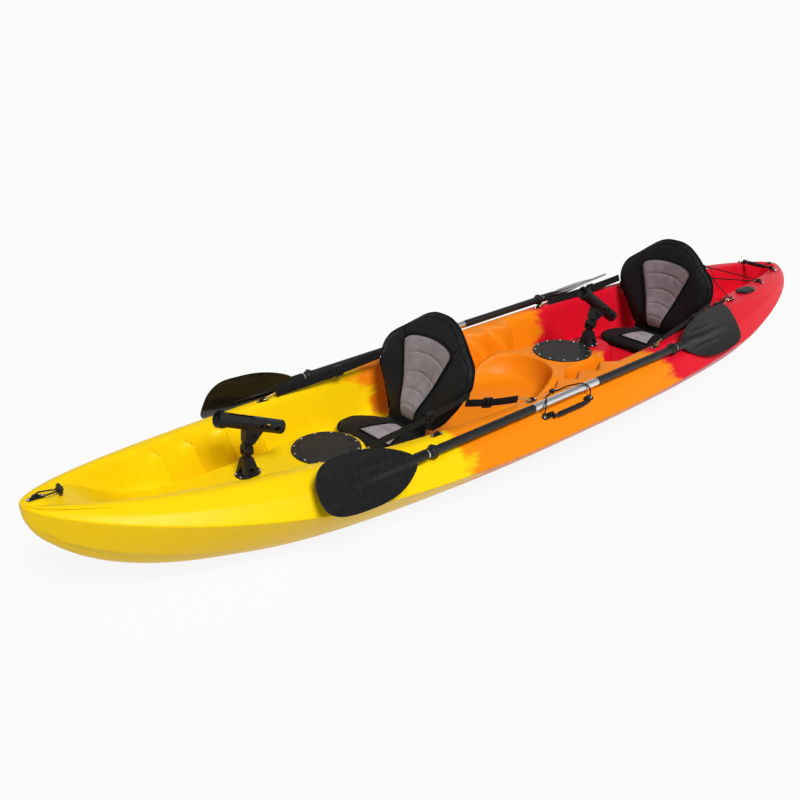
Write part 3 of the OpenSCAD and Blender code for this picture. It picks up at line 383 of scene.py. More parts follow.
# Materials
class Shader:
    """A node material built round one principled shader."""

    def __init__(self, name):
        self.mat = bpy.data.materials.new(name)
        self.mat.use_nodes = True
        self.tree = self.mat.node_tree
        self.tree.nodes.clear()
        self.bsdf = self.node("ShaderNodeBsdfPrincipled")
        out = self.node("ShaderNodeOutputMaterial")
        self.link(self.bsdf.outputs[0], out.inputs[0])
        self.coord = self.node("ShaderNodeTexCoord").outputs["Object"]
        self.normal = None

    def node(self, kind):
        return self.tree.nodes.new(kind)

    def link(self, a, b):
        self.tree.links.new(a, b)

    def set(self, **values):
        for key, value in values.items():
            self.bsdf.inputs[key.replace("_", " ")].default_value = value

    def texture(self, kind, scale, stretch=None):
        """A texture over the object's own coordinates, drawn out along the axes by stretch."""
        n = self.node("ShaderNodeTex" + kind)
        n.inputs["Scale"].default_value = scale
        way = self.coord
        if stretch is not None:
            m = self.node("ShaderNodeMapping")
            m.inputs["Scale"].default_value = stretch
            self.link(way, m.inputs["Vector"])
            way = m.outputs[0]
        self.link(way, n.inputs["Vector"])
        return n

    def noise(self, scale, detail, stretch=None):
        n = self.texture("Noise", scale, stretch)
        n.inputs["Detail"].default_value = detail
        return n.outputs["Fac"]

    def cells(self, scale):
        return self.texture("Voronoi", scale).outputs["Distance"]

    def wave(self, scale, axis, distortion):
        n = self.texture("Wave", scale)
        n.wave_type = "BANDS"
        n.bands_direction = axis
        n.inputs["Distortion"].default_value = distortion
        return n.outputs["Fac"]

    def math(self, kind, a, b):
        m = self.node("ShaderNodeMath")
        m.operation = kind
        for k, v in enumerate((a, b)):
            if isinstance(v, (int, float)):
                m.inputs[k].default_value = v
            else:
                self.link(v, m.inputs[k])
        return m.outputs[0]

    def spread(self, value, a, b, low=0.0, high=1.0, smooth=False):
        m = self.node("ShaderNodeMapRange")
        m.interpolation_type = "SMOOTHSTEP" if smooth else "LINEAR"
        self.link(value, m.inputs["Value"])
        m.inputs["From Min"].default_value = a
        m.inputs["From Max"].default_value = b
        m.inputs["To Min"].default_value = low
        m.inputs["To Max"].default_value = high
        return m.outputs[0]

    def blend(self, factor, a, b):
        m = self.node("ShaderNodeMix")
        m.data_type = "RGBA"
        self.link(factor, m.inputs[0])
        for k, v in ((6, a), (7, b)):
            if isinstance(v, tuple):
                m.inputs[k].default_value = (*v, 1.0)
            else:
                self.link(v, m.inputs[k])
        return m.outputs[2]

    def colour(self, value):
        self.link(value, self.bsdf.inputs["Base Color"])

    def rough(self, value, low, high):
        self.link(self.spread(value, 0.25, 0.75, low, high), self.bsdf.inputs["Roughness"])

    def bump(self, height, strength, distance):
        b = self.node("ShaderNodeBump")
        b.inputs["Strength"].default_value = strength
        b.inputs["Distance"].default_value = distance
        self.link(height, b.inputs["Height"])
        if self.normal is not None:
            self.link(self.normal, b.inputs["Normal"])
        self.normal = b.outputs[0]
        self.link(self.normal, self.bsdf.inputs["Normal"])


YELLOW = (0.93, 0.62, 0.002)
ORANGE = (0.88, 0.235, 0.004)
RED = (0.68, 0.0035, 0.022)


def hull_plastic():
    s = Shader("hull_plastic")
    split = s.node("ShaderNodeSeparateXYZ")
    s.link(s.coord, split.inputs[0])
    broad = s.noise(2.6, 2.0)
    streak = s.noise(13.0, 6.0, (0.45, 1.0, 1.7))
    x = s.math("ADD", split.outputs[0], s.spread(broad, 0.0, 1.0, -0.16, 0.16))
    x = s.math("ADD", x, s.spread(streak, 0.0, 1.0, -0.17, 0.17))
    warm = s.blend(s.spread(x, 0.57, 0.64, smooth=True), ORANGE, YELLOW)
    body = s.blend(s.spread(x, -0.44, -0.37, smooth=True), RED, warm)
    mottle = s.noise(22.0, 5.0)
    dark = s.blend(s.spread(mottle, 0.3, 0.8, 0.0, 0.08), body, (0.35, 0.10, 0.006))
    s.colour(dark)
    s.rough(s.noise(35.0, 4.0), 0.30, 0.40)
    s.set(Specular_IOR_Level=0.1)
    s.bump(s.noise(14.0, 2.0), 0.10, 0.004)
    s.bump(s.noise(620.0, 2.0), 0.06, 0.0006)
    return s.mat


def moulded(name, colour, low, high, grain=520.0, strength=0.22, shine=0.22):
    """Moulded plastic or rubber with a fine grain and uneven gloss."""
    s = Shader(name)
    worn = tuple(min(1.0, c * 1.8 + 0.004) for c in colour)
    s.colour(s.blend(s.spread(s.noise(60.0, 5.0), 0.35, 0.75, 0.0, 0.6), colour, worn))
    s.rough(s.noise(90.0, 3.0), low, high)
    s.set(Specular_IOR_Level=shine)
    s.bump(s.noise(grain, 3.0), strength, 0.0004)
    return s.mat


def metal(name, colour, low, high, stretch):
    """Drawn or cast metal with fine lines along one way."""
    s = Shader(name)
    dull = tuple(c * 0.82 for c in colour)
    lines = s.noise(1.0, 4.0, stretch)
    s.colour(s.blend(s.spread(lines, 0.3, 0.7, 0.0, 1.0), colour, dull))
    s.rough(lines, low, high)
    s.set(Metallic=1.0)
    s.bump(lines, 0.06, 0.0002)
    return s.mat


def woven(name, colour, pitch, strength, sheen=0.05, axes=("Y", "Z")):
    """Plain woven cloth; pitch is the thread spacing in metres."""
    s = Shader(name)
    scale = 0.314 / pitch
    weft = s.wave(scale, axes[0], 0.4)
    warp = s.wave(scale, axes[1], 0.4)
    weave = s.math("MULTIPLY", weft, warp)
    shade = tuple(c * 0.55 for c in colour)
    cloth = s.blend(s.spread(weave, 0.0, 0.7, 0.0, 1.0), shade, colour)
    faded = tuple(min(1.0, c * 1.12 + 0.002) for c in colour)
    s.colour(s.blend(s.spread(s.noise(24.0, 4.0), 0.4, 0.8, 0.0, 0.6), cloth, faded))
    s.rough(s.noise(150.0, 2.0), 0.72, 0.90)
    s.set(Sheen_Weight=sheen, Sheen_Roughness=0.4, Specular_IOR_Level=0.12)
    s.bump(weave, strength, 0.0007)
    s.bump(s.noise(38.0, 3.0), 0.12, 0.004)
    return s.mat


def air_mesh(name, colour):
    """Knitted spacer mesh with small round holes, with painted shade inside the holes."""
    s = Shader(name)
    holes = s.cells(230.0)
    # The holes are painted darker than the knit: painted shade inside them
    deep = tuple(c * 0.25 for c in colour)
    s.colour(s.blend(s.spread(holes, 0.15, 0.42, 0.0, 1.0), deep, colour))
    s.rough(s.noise(120.0, 2.0), 0.55, 0.75)
    s.set(Sheen_Weight=0.03, Sheen_Roughness=0.5, Specular_IOR_Level=0.14)
    s.bump(holes, 0.5, 0.0010)
    s.bump(s.noise(30.0, 3.0), 0.10, 0.004)
    return s.mat


def braid(name, colour):
    s = Shader(name)
    lay = s.math("MULTIPLY", s.wave(95.0, "DIAGONAL", 0.3), s.wave(120.0, "X", 0.3))
    shade = tuple(c * 0.5 for c in colour)
    s.colour(s.blend(lay, shade, colour))
    s.rough(s.noise(200.0, 2.0), 0.55, 0.8)
    s.set(Specular_IOR_Level=0.16)
    s.bump(lay, 0.5, 0.0006)
    return s.mat


HULL = hull_plastic()
BLACK = moulded("black_plastic", (0.011, 0.011, 0.012), 0.34, 0.52)
LID = moulded("lid_plastic", (0.016, 0.015, 0.015), 0.42, 0.56, grain=380.0, strength=0.35)
BLADE = moulded(
    "blade_plastic", (0.008, 0.008, 0.008), 0.16, 0.26, grain=240.0, strength=0.05, shine=0.26
)
GRIP = moulded("grip_sleeve", (0.009, 0.009, 0.010), 0.24, 0.38, grain=700.0, strength=0.10, shine=0.35)
SEAL = moulded("seal", (0.022, 0.022, 0.023), 0.55, 0.75, grain=300.0, strength=0.2)
STEEL = metal("steel", (0.78, 0.78, 0.80), 0.16, 0.30, (140.0, 140.0, 900.0))
BRASS = metal("clip_brass", (0.83, 0.58, 0.24), 0.18, 0.34, (300.0, 300.0, 300.0))
SHAFT = metal("shaft_metal", (0.86, 0.87, 0.89), 0.20, 0.34, (6.0, 700.0, 700.0))
GREY = woven("seat_panel", (0.38, 0.345, 0.375), 0.0016, 0.30)
MESH = air_mesh("seat_mesh", (0.010, 0.010, 0.011))
BIND = woven("seat_binding", (0.003, 0.003, 0.0035), 0.0018, 0.5)
WEB = woven("webbing", (0.012, 0.012, 0.013), 0.0022, 0.6, axes=("X", "Z"))
CORD = braid("cord", (0.014, 0.014, 0.015))


def side_name(side):
    return "port" if side > 0 else "starboard"


def finish_piece(obj, body, slot, *replaced):
    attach(obj, body)
    if replaced:
        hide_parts(*replaced)


# Hull
def corner(a, c, b, radius, steps):
    """Points round a corner of the section, one column of points for each step."""
    la = np.linalg.norm(a - c, axis=1)[:, None]
    lb = np.linalg.norm(b - c, axis=1)[:, None]
    p = c + (a - c) * np.minimum(radius / np.maximum(la, 1e-9), 0.45)
    q = c + (b - c) * np.minimum(radius / np.maximum(lb, 1e-9), 0.45)
    out = []
    for k in range(steps + 1):
        t = k / steps
        out.append((1 - t) ** 2 * p + 2 * t * (1 - t) * c + t * t * q)
    return out


def hull_rings():
    x = np.concatenate([
        [-1864, -1862, -1859, -1855, -1850, -1845],
        np.arange(-1840, -480, 8),
        np.arange(-480, 200, 5),
        np.arange(200, 1040, 8),
        np.arange(1040, 1600, 5),
        np.arange(1600, 1873, 8),
        [1877, 1882, 1887, 1891, 1894, 1896.5, 1898],
    ])
    g = taper(x)
    yc = fold_y(x) + 40 * g
    zc = fold_z(x) - 62 * mix(0.1, 1, g * g)
    crease = np.stack([yc, zc], 1)
    fold = np.stack([fold_y(x), fold_z(x)], 1)
    out = np.stack([rim_out(x), rim_z(x)], 1)
    inner = np.stack([inner_edge(x), rim_z(x)], 1)
    bottom = spline([[0, 0], [0.22, 0], [0.45, 0.07], [0.64, 0.25], [0.83, 0.60], [1, 1]], 5)
    # The lower bow is set in under a lip along the side
    plank = 9 * ease(1180, 1420, x) * (1 - ease(1830, 1890, x))
    cols = []
    for f, rise in bottom[:-1]:
        z = mix(keel_z(x), zc, max(rise, 0)) + plank * (1 - ease(0.68, 0.714, f))
        cols.append(np.stack([yc * f, z], 1))
    cols += corner(cols[-1], crease, fold, 5, 4)
    cols += [mix(crease, fold, t) for t in (0.3, 0.5, 0.7)]
    cols += corner(crease, fold, out, 6, 4)
    cols += [mix(fold, out, t) for t in (0.25, 0.5, 0.75)]
    cols += corner(fold, out, inner, 11, 4)
    n = 60
    for i in range(n + 1):
        y = inner_edge(x) * (1 - i / n)
        cols.append(np.stack([y, deck_z(x, y)], 1))
    half = np.stack(cols, 1)
    other = half[:, -2:0:-1].copy()
    other[:, :, 0] *= -1
    ring = np.concatenate([half, other], 1)
    return np.concatenate([np.broadcast_to(x[:, None, None], (*ring.shape[:2], 1)), ring], 2)


def cylinder_into(bm, radius, matrix, depth, segments):
    bmesh.ops.create_cone(
        bm, cap_ends=True, segments=segments, radius1=radius, radius2=radius, depth=depth, matrix=matrix
    )


def hull_cutter():
    bm = bmesh.new()
    for x, z in HATCHES:
        cylinder_into(bm, 100.4 * MM, Matrix.Translation(Vector((x, 0, z - 55)) * MM), 190 * MM, 96)
    for x, y in ((450, 150), (-975, 150), (-1400, 60)):
        for side in (-1, 1):
            cylinder_into(bm, 14 * MM, Matrix.Translation(Vector((x, side * y, 110)) * MM), 260 * MM, 32)
    y = float(rim_mid(CAP_X))
    lean = Matrix.Rotation(math.radians(-20), 4, "Y")
    for side in (-1, 1):
        at = Matrix.Translation(Vector((CAP_X, side * y, float(rim_z(CAP_X)) + 0.4)) * MM)
        cylinder_into(bm, 23.4 * MM, at @ lean @ Matrix.Translation((0, 0, -0.058)), 0.236, 48)
    mesh = bpy.data.meshes.new("cutter")
    bm.to_mesh(mesh)
    bm.free()
    cutter = bpy.data.objects.new("cutter", mesh)
    scene.collection.objects.link(cutter)
    return cutter


def make_hull():
    verts, faces = skin(hull_rings())
    hull = mesh_object("hull_shell", verts * MM, faces, [HULL])
    cutter = hull_cutter()
    cut = hull.modifiers.new("cut", "BOOLEAN")
    cut.operation = "DIFFERENCE"
    cut.solver = "MANIFOLD"
    cut.object = cutter
    apply_modifiers(hull)
    bpy.data.objects.remove(cutter)
    hull.data.shade_smooth()
    hull.data.set_sharp_from_angle(angle=math.radians(42))
    finish_piece(hull, "hull_body", "hull_plastic", "hull")


make_hull()

# Seats
SEATS = [
    {"name": "front", "x": 565.0, "lean": 21.0, "fit": 1.0, "body": "front_back", "eyes": (0, 2)},
    {"name": "rear", "x": -888.0, "lean": 9.0, "fit": 0.86, "body": "rear_back", "eyes": (3, 4)},
]
FLOOR = 118.4
HINGE = FLOOR + 42 + math.hypot(2.4, 4) + 0.5
BACK_HALF = 245
PAD_SHAPE = [
    (0, 0.50), (0.05, 0.60), (0.15, 0.72), (0.32, 0.88), (0.52, 0.98),
    (0.67, 1), (0.83, 0.98), (0.93, 0.91), (1, 0.76),
]
BACK_SHAPE = [
    (0, 0.42), (0.13, 0.64), (0.23, 0.76), (0.34, 0.88), (0.45, 0.965),
    (0.52, 1), (0.58, 0.99), (0.65, 0.95), (0.71, 0.86), (0.77, 0.74),
    (0.83, 0.63), (0.89, 0.50), (0.94, 0.385), (0.975, 0.29), (1, 0.15),
]


def table(v, pairs):
    p = np.asarray(pairs, float)
    return np.interp(v, p[:, 0], p[:, 1])


def smooth_table(v, pairs):
    """The table's value on a smooth curve through its points."""
    return table(v, spline(pairs, 8))


def back_h(v):
    return 426 * np.asarray(v, float) - 4


def back_width(v):
    return BACK_HALF * table(v, BACK_SHAPE)


def back_n(u, v):
    a = np.asarray(u, float) / BACK_HALF
    return -a * a * (mix(60, 4, ease(0, 0.45, v)) * ease(0, 0.1, v) + 24 * ease(0.55, 1, v))


def back_crown(a, v):
    edge = np.clip(1 - np.abs(a) ** 3.2, 0, None) ** 0.6
    return 52 * edge * ease(0, 0.22, v) * np.maximum(0.06, 1 - np.asarray(v, float) ** 8) ** 0.5


def back_axes(seat):
    r = math.radians(seat["lean"])
    origin = np.array([seat["x"], 0, HINGE])
    return origin, np.array([-math.sin(r), 0, math.cos(r)]), np.array([math.cos(r), 0, math.sin(r)])


def on_back(seat, u, h, n):
    """Point of the backrest: u to port, h up the rest and n out of its face."""
    origin, up, out = back_axes(seat)
    u, h, n = np.broadcast_arrays(np.asarray(u, float), h, n)
    return origin + u[..., None] * np.array([0, 1.0, 0]) + h[..., None] * up + n[..., None] * out


def puff(obj, voxel, pressure, cap):
    """Swells a closed cushion by a cloth simulation, with a limit on how far a point may move."""
    remesh = obj.modifiers.new("remesh", "REMESH")
    remesh.mode = "VOXEL"
    remesh.voxel_size = voxel
    apply_modifiers(obj)
    rest = coords(obj.data)
    cloth = obj.modifiers.new("cloth", "CLOTH")
    cloth.settings.use_pressure = True
    cloth.settings.uniform_pressure_force = pressure
    cloth.settings.effector_weights.gravity = 0
    cloth.settings.quality = 4
    cloth.collision_settings.use_collision = False
    cloth.point_cache.frame_start = 1
    cloth.point_cache.frame_end = 20
    for f in range(1, 21):
        scene.frame_set(f)
    graph = bpy.context.evaluated_depsgraph_get()
    moved = coords(obj.evaluated_get(graph).data)
    obj.modifiers.clear()
    scene.frame_set(1)
    step = moved - rest
    far = np.linalg.norm(step, axis=1)[:, None]
    set_coords(obj.data, rest + step * np.minimum(1, cap / np.maximum(far, 1e-9)))
    smooth = obj.modifiers.new("smooth", "SMOOTH")
    smooth.factor = 0.5
    smooth.iterations = 4
    split = obj.modifiers.new("split", "SUBSURF")
    split.levels = 1
    split.render_levels = 1
    apply_modifiers(obj)
    obj.data.shade_smooth()


class Surface:
    """Finds points on a cushion's face, looking along one direction."""

    def __init__(self, obj):
        bm = bmesh.new()
        bm.from_mesh(obj.data)
        self.tree = BVHTree.FromBMesh(bm)
        bm.free()

    def drop(self, points, direction, reach):
        """Where rays that start reach before the points first meet the face, in millimetres."""
        d = unit(direction)
        out = []
        good = []
        for p in np.asarray(points, float).reshape(-1, 3):
            start = (p - d * reach) * MM
            hit, _, _, _ = self.tree.ray_cast(Vector(start), Vector(d), 2 * reach * MM)
            good.append(hit is not None)
            out.append(np.array(hit) / MM if hit is not None else p)
        return np.array(out), np.array(good)


def panel_mesh(points, thick, down):
    """A panel with a turned-under edge, from a grid of its face and the way into the cushion."""
    p = np.asarray(points, float)
    rows, n = p.shape[:2]
    d = unit(down)
    rim = []
    rim += [(0, j) for j in range(n)]
    rim += [(i, n - 1) for i in range(1, rows)]
    rim += [(rows - 1, j) for j in range(n - 2, -1, -1)]
    rim += [(i, 0) for i in range(rows - 2, 0, -1)]
    verts = np.concatenate([p.reshape(-1, 3), (p + d * thick).reshape(-1, 3)])
    faces = []
    m = rows * n
    for i in range(rows - 1):
        for j in range(n - 1):
            a, b, c, e = i * n + j, i * n + j + 1, (i + 1) * n + j + 1, (i + 1) * n + j
            faces.append([a, b, c, e])
            faces.append([m + e, m + c, m + b, m + a])
    for k in range(len(rim)):
        a = rim[k][0] * n + rim[k][1]
        b = rim[(k + 1) % len(rim)][0] * n + rim[(k + 1) % len(rim)][1]
        faces.append([b, a, m + a, m + b])
    return verts, faces


def facing(verts, faces):
    """Turns a closed mesh's faces outwards."""
    mesh = bpy.data.meshes.new("facing")
    mesh.from_pydata([tuple(v) for v in verts], [], faces)
    bm = bmesh.new()
    bm.from_mesh(mesh)
    bmesh.ops.recalc_face_normals(bm, faces=bm.faces)
    bm.verts.ensure_lookup_table()
    out = [[v.index for v in f.verts] for f in bm.faces]
    bm.free()
    bpy.data.meshes.remove(mesh)
    return verts, out


def make_backrest(seat):
    name = seat["name"]
    rows, n = 44, 30
    rings = []
    for v in np.linspace(0.035, 1.0, rows):
        a = np.linspace(-1, 1, n + 1)
        w = BACK_HALF * smooth_table(v, BACK_SHAPE) - 4
        t = mix(2.4, 5, ease(0.02, 0.14, v)) * 0.8
        crown = back_crown(a, v)
        h = back_h(v) - 4 * ease(0.9, 1, v)
        wrap = 20 * np.abs(a) ** 2 * (1 - np.abs(a) ** 6) * ease(0.15, 0.45, v) * (1 - ease(0.75, 1, v))
        set_back = 26 * ease(0.05, 0.45, v) * (1 - a * a * (1 - ease(0.6, 0.95, v)))
        front = on_back(seat, a * w, h, back_n(a * w, v) + t + 0.30 * crown + wrap - set_back)
        back = on_back(seat, a * w, h, back_n(a * w, v) - t - 0.30 * crown - 0.8 * set_back)
        rings.append(np.concatenate([front, back[::-1]]))
    verts, faces = facing(*skin(np.array(rings)))
    rest = mesh_object(name + "_back_cushion", verts * MM, faces, [MESH])
    puff(rest, 0.005, 4.0, 0.006)
    finish_piece(rest, seat["body"], "seat_fabric", name + "_backrest")
    add_back_trim(seat, rest)


def edge_route(local, centre, sweep, count):
    """Route round a cushion's outline, seen along its third axis, for a sweep in degrees each way."""
    u, h, n = (np.asarray(local, float) - [0, centre, 0]).T
    angle = np.degrees(np.arctan2(u, h))
    radius = np.hypot(u, h)
    turns = np.linspace(-sweep, sweep, count)
    far, deep = [], []
    for t in turns:
        near = np.abs(angle - t) < 2.0
        far.append(radius[near].max())
        deep.append(n[near & (radius > far[-1] - 2.5)].mean())
    for _ in range(3):
        far[1:-1] = np.convolve(far, [0.25, 0.5, 0.25], "valid")
        deep[1:-1] = np.convolve(deep, [0.25, 0.5, 0.25], "valid")
    t = np.radians(turns)
    return t, np.array(far), np.array(deep)


def panel_width(h):
    return 20 + 0.36 * np.asarray(h, float)


def panel_top(a):
    return 322 - 24 * np.asarray(a, float) ** 2 - 16 * np.abs(a) ** 8


PANEL_FOOT = 20


def fill_down(points, good):
    """Gives each row that missed the cushion the depth of the row above it; rows run upwards."""
    p = points.copy()
    for i in range(len(p) - 2, -1, -1):
        p[i] = np.where(good[i], p[i], p[i + 1])
    return p


def add_back_trim(seat, rest):
    name = seat["name"]
    face = Surface(rest)
    origin, up, out = back_axes(seat)

    def on_face(u, h, lift):
        p, good = face.drop(on_back(seat, u, h, 60.0), -out, 120.0)
        return p[good] + out * lift

    # Grey fan panel with curved quilted channels
    rows, n = 72, 36
    t, a = np.meshgrid(np.linspace(0, 1, rows), np.linspace(-1, 1, n), indexing="ij")
    h = PANEL_FOOT + t * (panel_top(a) - PANEL_FOOT)
    u = a * panel_width(h)
    p, good = face.drop(on_back(seat, u, h, 60.0), -out, 120.0)
    deep = fill_down(((p - origin) @ out).reshape(rows, n), good.reshape(rows, n))
    level = h - 28 * (1 - a * a) * np.minimum(h / 235, 1)
    band = np.interp(level, [0, 66, 116, 171, 235, 330], [0, 1, 2, 3, 4, 5])
    f = band - np.floor(band)
    pillow = 1 - np.abs(2 * f - 1) ** 15
    edge = (1 - np.abs(a) ** 14) * ease(0.02, 0.22, t) * (1 - ease(0.97, 1, t))
    lift = 0.3 + 3.9 * pillow * edge
    grid = on_back(seat, u, h, deep + lift)
    verts, faces = facing(*panel_mesh(grid, 5.0, -out))
    panel = mesh_object(name + "_back_panel", verts * MM, faces, [GREY], sharp=60)
    finish_piece(panel, seat["body"], "seat_fabric")

    # Piped band round the panel, seams to the shoulders, and the piped outer edge
    hs = np.linspace(PANEL_FOOT + 34, panel_top(1.0), 30)
    left = np.stack([-panel_width(hs) - 4, hs], 1)
    across = np.linspace(-1, 1, 24)[1:-1]
    top = np.stack([across * (panel_width(300) + 4), panel_top(across) + 4], 1)
    right = left[::-1] * [-1, 1]
    loop = chaikin(np.concatenate([left, top, right]), 1)
    parts = [(0, tube(on_face(loop[:, 0], loop[:, 1], 1.2), 5.0, 12))]
    for side in (-1, 1):
        line = spline([(side * 128, 304), (side * 136, 318), (side * 144, 332), (side * 152, 346)], 5)
        parts.append((0, tube(on_face(line[:, 0], line[:, 1], 0.6), 2.4, 8)))
    rel = coords(rest.data) / MM - origin
    turn, far, deep = edge_route(np.stack([rel[:, 1], rel @ up, rel @ out], 1), 200, 146, 150)
    rim = on_back(seat, (far - 2) * np.sin(turn), 200 + (far - 2) * np.cos(turn), deep)
    parts.append((0, tube(rim, 5.2, 12)))
    inset = far - 15
    parts.append((0, tube(on_face(inset * np.sin(turn), 200 + inset * np.cos(turn), 0.3), 2.0, 8)))
    verts, faces, _ = join(parts)
    trim = mesh_object(name + "_back_binding", verts * MM, faces, [BIND])
    finish_piece(trim, seat["body"], "seat_fabric")


def pad_width(seat, v):
    return seat["fit"] * 212 * smooth_table(np.clip(v, 0.03, 0.97), PAD_SHAPE)


def make_pad(seat):
    name = seat["name"]
    rings = []
    n = 28
    for v in np.linspace(0, 1, 30):
        x = seat["x"] + 186 * v
        a = np.linspace(-1, 1, n + 1)
        w = pad_width(seat, v) - 4
        edge = 42 * mix(1, 0.8, ease(0.5, 1, v)) - 5
        crown = (1 - np.abs(a) ** 4) * ease(0, 0.28, v) * (1 - 0.6 * ease(0.8, 1, v))
        top = np.stack([np.full(n + 1, x), a * w, FLOOR + edge + 9 * crown], 1)
        low = np.stack([np.full(n + 1, x), a * w * 0.9, np.full(n + 1, FLOOR + 1)], 1)
        rings.append(np.concatenate([top, low[::-1]]))
    verts, faces = facing(*skin(np.array(rings)))
    pad = mesh_object(name + "_pad_cushion", verts * MM, faces, [MESH])
    puff(pad, 0.005, 4.0, 0.006)
    co = coords(pad.data)
    co[:, 2] = np.maximum(co[:, 2], (FLOOR + 0.2) * MM)
    set_coords(pad.data, co)
    finish_piece(pad, "hull_body", "seat_fabric", name + "_seat_pad")

    # Grey wedge with a piped border
    face = Surface(pad)
    down = np.array([0, 0, -1.0])
    rows, n = 40, 36
    t, a = np.meshgrid(np.linspace(0, 1, rows), np.linspace(-1, 1, n), indexing="ij")
    x = seat["x"] + 16 + t * 130
    flat = np.stack([x, a * wedge_width(seat, t), np.full_like(x, 200.0)], -1)
    p, _ = face.drop(flat, down, 100.0)
    edge = (1 - np.abs(a) ** 10) * ease(0.05, 0.45, t) * (1 - ease(0.95, 1, t))
    grid = p.reshape(rows, n, 3) - down * (0.3 + 3.5 * edge)[..., None]
    verts, faces = facing(*panel_mesh(grid, 5.0, down))
    panel = mesh_object(name + "_pad_panel", verts * MM, faces, [GREY], sharp=60)
    finish_piece(panel, "hull_body", "seat_fabric")
    ts = np.linspace(0.3, 1, 16)
    side = np.stack([seat["x"] + 16 + ts * 132, wedge_width(seat, ts) + 4], 1)
    across = np.linspace(1, -1, 16)[1:-1] * wedge_width(seat, 1.0)
    front = np.stack([np.full(14, seat["x"] + 151), across], 1)
    loop = chaikin(np.concatenate([side, front, side[::-1] * [1, -1]]), 1)
    p, good = face.drop(np.stack([loop[:, 0], loop[:, 1], np.full(len(loop), 200.0)], 1), down, 100.0)
    parts = [(0, tube(p[good] + [0, 0, 1.2], 4.5, 12))]
    rel = coords(pad.data) / MM - [seat["x"], 0, 0]
    turn, far, deep = edge_route(rel[:, [1, 0, 2]], 90, 132, 110)
    rim = np.stack([seat["x"] + 90 + (far - 2) * np.cos(turn), (far - 2) * np.sin(turn), deep + 3], 1)
    parts.append((0, tube(rim, 4.6, 12)))
    verts, faces, _ = join(parts)
    trim = mesh_object(name + "_pad_binding", verts * MM, faces, [BIND])
    finish_piece(trim, "hull_body", "seat_fabric")


def wedge_width(seat, t):
    return mix(26, 82, t) * seat["fit"]


def make_hinge(seat):
    """Fabric strip that joins the pad to the backrest and bends where they meet."""
    origin, up, out = back_axes(seat)
    path = [
        origin + [24, 0, -3.4],
        origin + [12, 0, -3.8],
        origin + [4, 0, -3.0],
        origin + [1, 0, -0.5],
        origin + up * 5 + out * 1,
        origin + up * 14 + out * 2.4,
        origin + up * 28 + out * 4,
    ]
    verts, faces = webbing(spline(path, 6), [0, 1, 0], 200, 6.0)
    strip = mesh_object(seat["name"] + "_seat_hinge", verts * MM, faces, [BIND])
    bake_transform(strip)


EYE_X = (990, 690, 265, -450, -1135)


def eye_hole(i, side):
    x = EYE_X[i]
    forward, high = (4, 5.5) if i == 4 else (0, 5.8)
    return np.array([x + forward, side * float(rim_mid(x)), float(rim_z(x)) + 0.4 + high])


def strap_ends(seat, side, end):
    v = (0.46, 0.39)[end]
    w = max(float(back_width(v)), float(back_width(v + 0.03)) - 2.5) + 1.5
    top = on_back(seat, side * w, float(back_h(v)), float(back_n(w, v)) - 2 * end)
    eye = eye_hole(seat["eyes"][end], side)
    d = unit(top - eye)
    d = unit([d[0], d[1], max(d[2], 0.2)])
    return top, eye + d * 56.4


def buckle_parts(path, across):
    """A sliding buckle on the webbing: two rails, three bars and a ribbed tongue."""
    d, a, b = route_frames(path, across)
    k = len(path) * 5 // 12
    m = Matrix((
        (*d[k], 0), (*a[k], 0), (*b[k], 0), (0, 0, 0, 1),
    )).transposed()
    m.translation = Vector(path[k])
    parts = []
    for s in (-1, 1):
        at = m @ Matrix.Translation((0, s * 17.6, 0))
        parts.append((1, rounded_box((34, 5, 9), 1.4, at)))
    for s, high in ((-14.5, 2.4), (0, 3.2), (14.5, 2.4)):
        for face in (-1, 1):
            at = m @ Matrix.Translation((s, 0, face * high))
            parts.append((1, rounded_box((5.4, 34, 2.6), 0.9, at)))
    for s in range(5):
        at = m @ Matrix.Translation((-10 + 2.6 * s, 0, 4.6))
        parts.append((1, rounded_box((1.2, 22, 1.2), 0.4, at)))
    return parts


def make_straps(seat):
    first = True
    for end in (0, 1):
        for side in (-1, 1):
            top, foot = strap_ends(seat, side, end)
            across = [0, 0.25 * side, 1]
            t = np.linspace(0, 1, 37)
            path = top + (foot - top) * t[:, None] - np.outer(np.sin(np.pi * t), [0, 0, 5])
            parts = [(0, webbing(path, across, 30, 2))]
            _, _, b = route_frames(path, across)
            parts.append((0, webbing(path[22:] + b[22:] * 2.1, across, 28, 1.8)))
            parts += buckle_parts(path, across)
            verts, faces, index = join(parts)
            name = "%s_%s_%s_strap" % (seat["name"], ("fore", "aft")[end], side_name(side))
            strap = mesh_object(name, verts * MM, faces, [WEB, BLACK], index=index, sharp=50)
            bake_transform(strap)
            if first:
                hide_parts(seat["name"] + "_seat_straps", seat["name"] + "_seat_buckles")
                first = False


for one in SEATS:
    make_backrest(one)
    make_pad(one)
    make_hinge(one)
    make_straps(one)


# Paddles
LEDGE_SLOPE = -0.018
PADDLE_MID = 127.0
PADDLE_Y = 368
PADDLE_SHIFT = 22
BLADE_START = 2140 / 2 - 422
RING_X = BLADE_START - 26
BLADE_HALF = 92


def ledge_angle(x):
    return np.arctan2(rim_z(x) - fold_z(x), fold_y(x) - rim_out(x))


def ledge_support(x, r):
    s = ledge_angle(x)
    return fold_z(x) + (fold_y(x) - PADDLE_Y) * np.tan(s) + r / np.cos(s) - LEDGE_SLOPE * (x - PADDLE_MID)


def paddle_rest():
    half = BLADE_START + 22
    shaft = np.arange(PADDLE_MID - half, PADDLE_MID + half + 0.01, 30)
    rings = np.array([
        PADDLE_MID + e * PADDLE_SHIFT + t * RING_X + k
        for e in (-1, 1) for t in (-1, 1) for k in range(-3, 3)
    ])
    return 0.5 + max(ledge_support(shaft, 15).max(), ledge_support(rings, 24).max())


PADDLE_Z = paddle_rest()


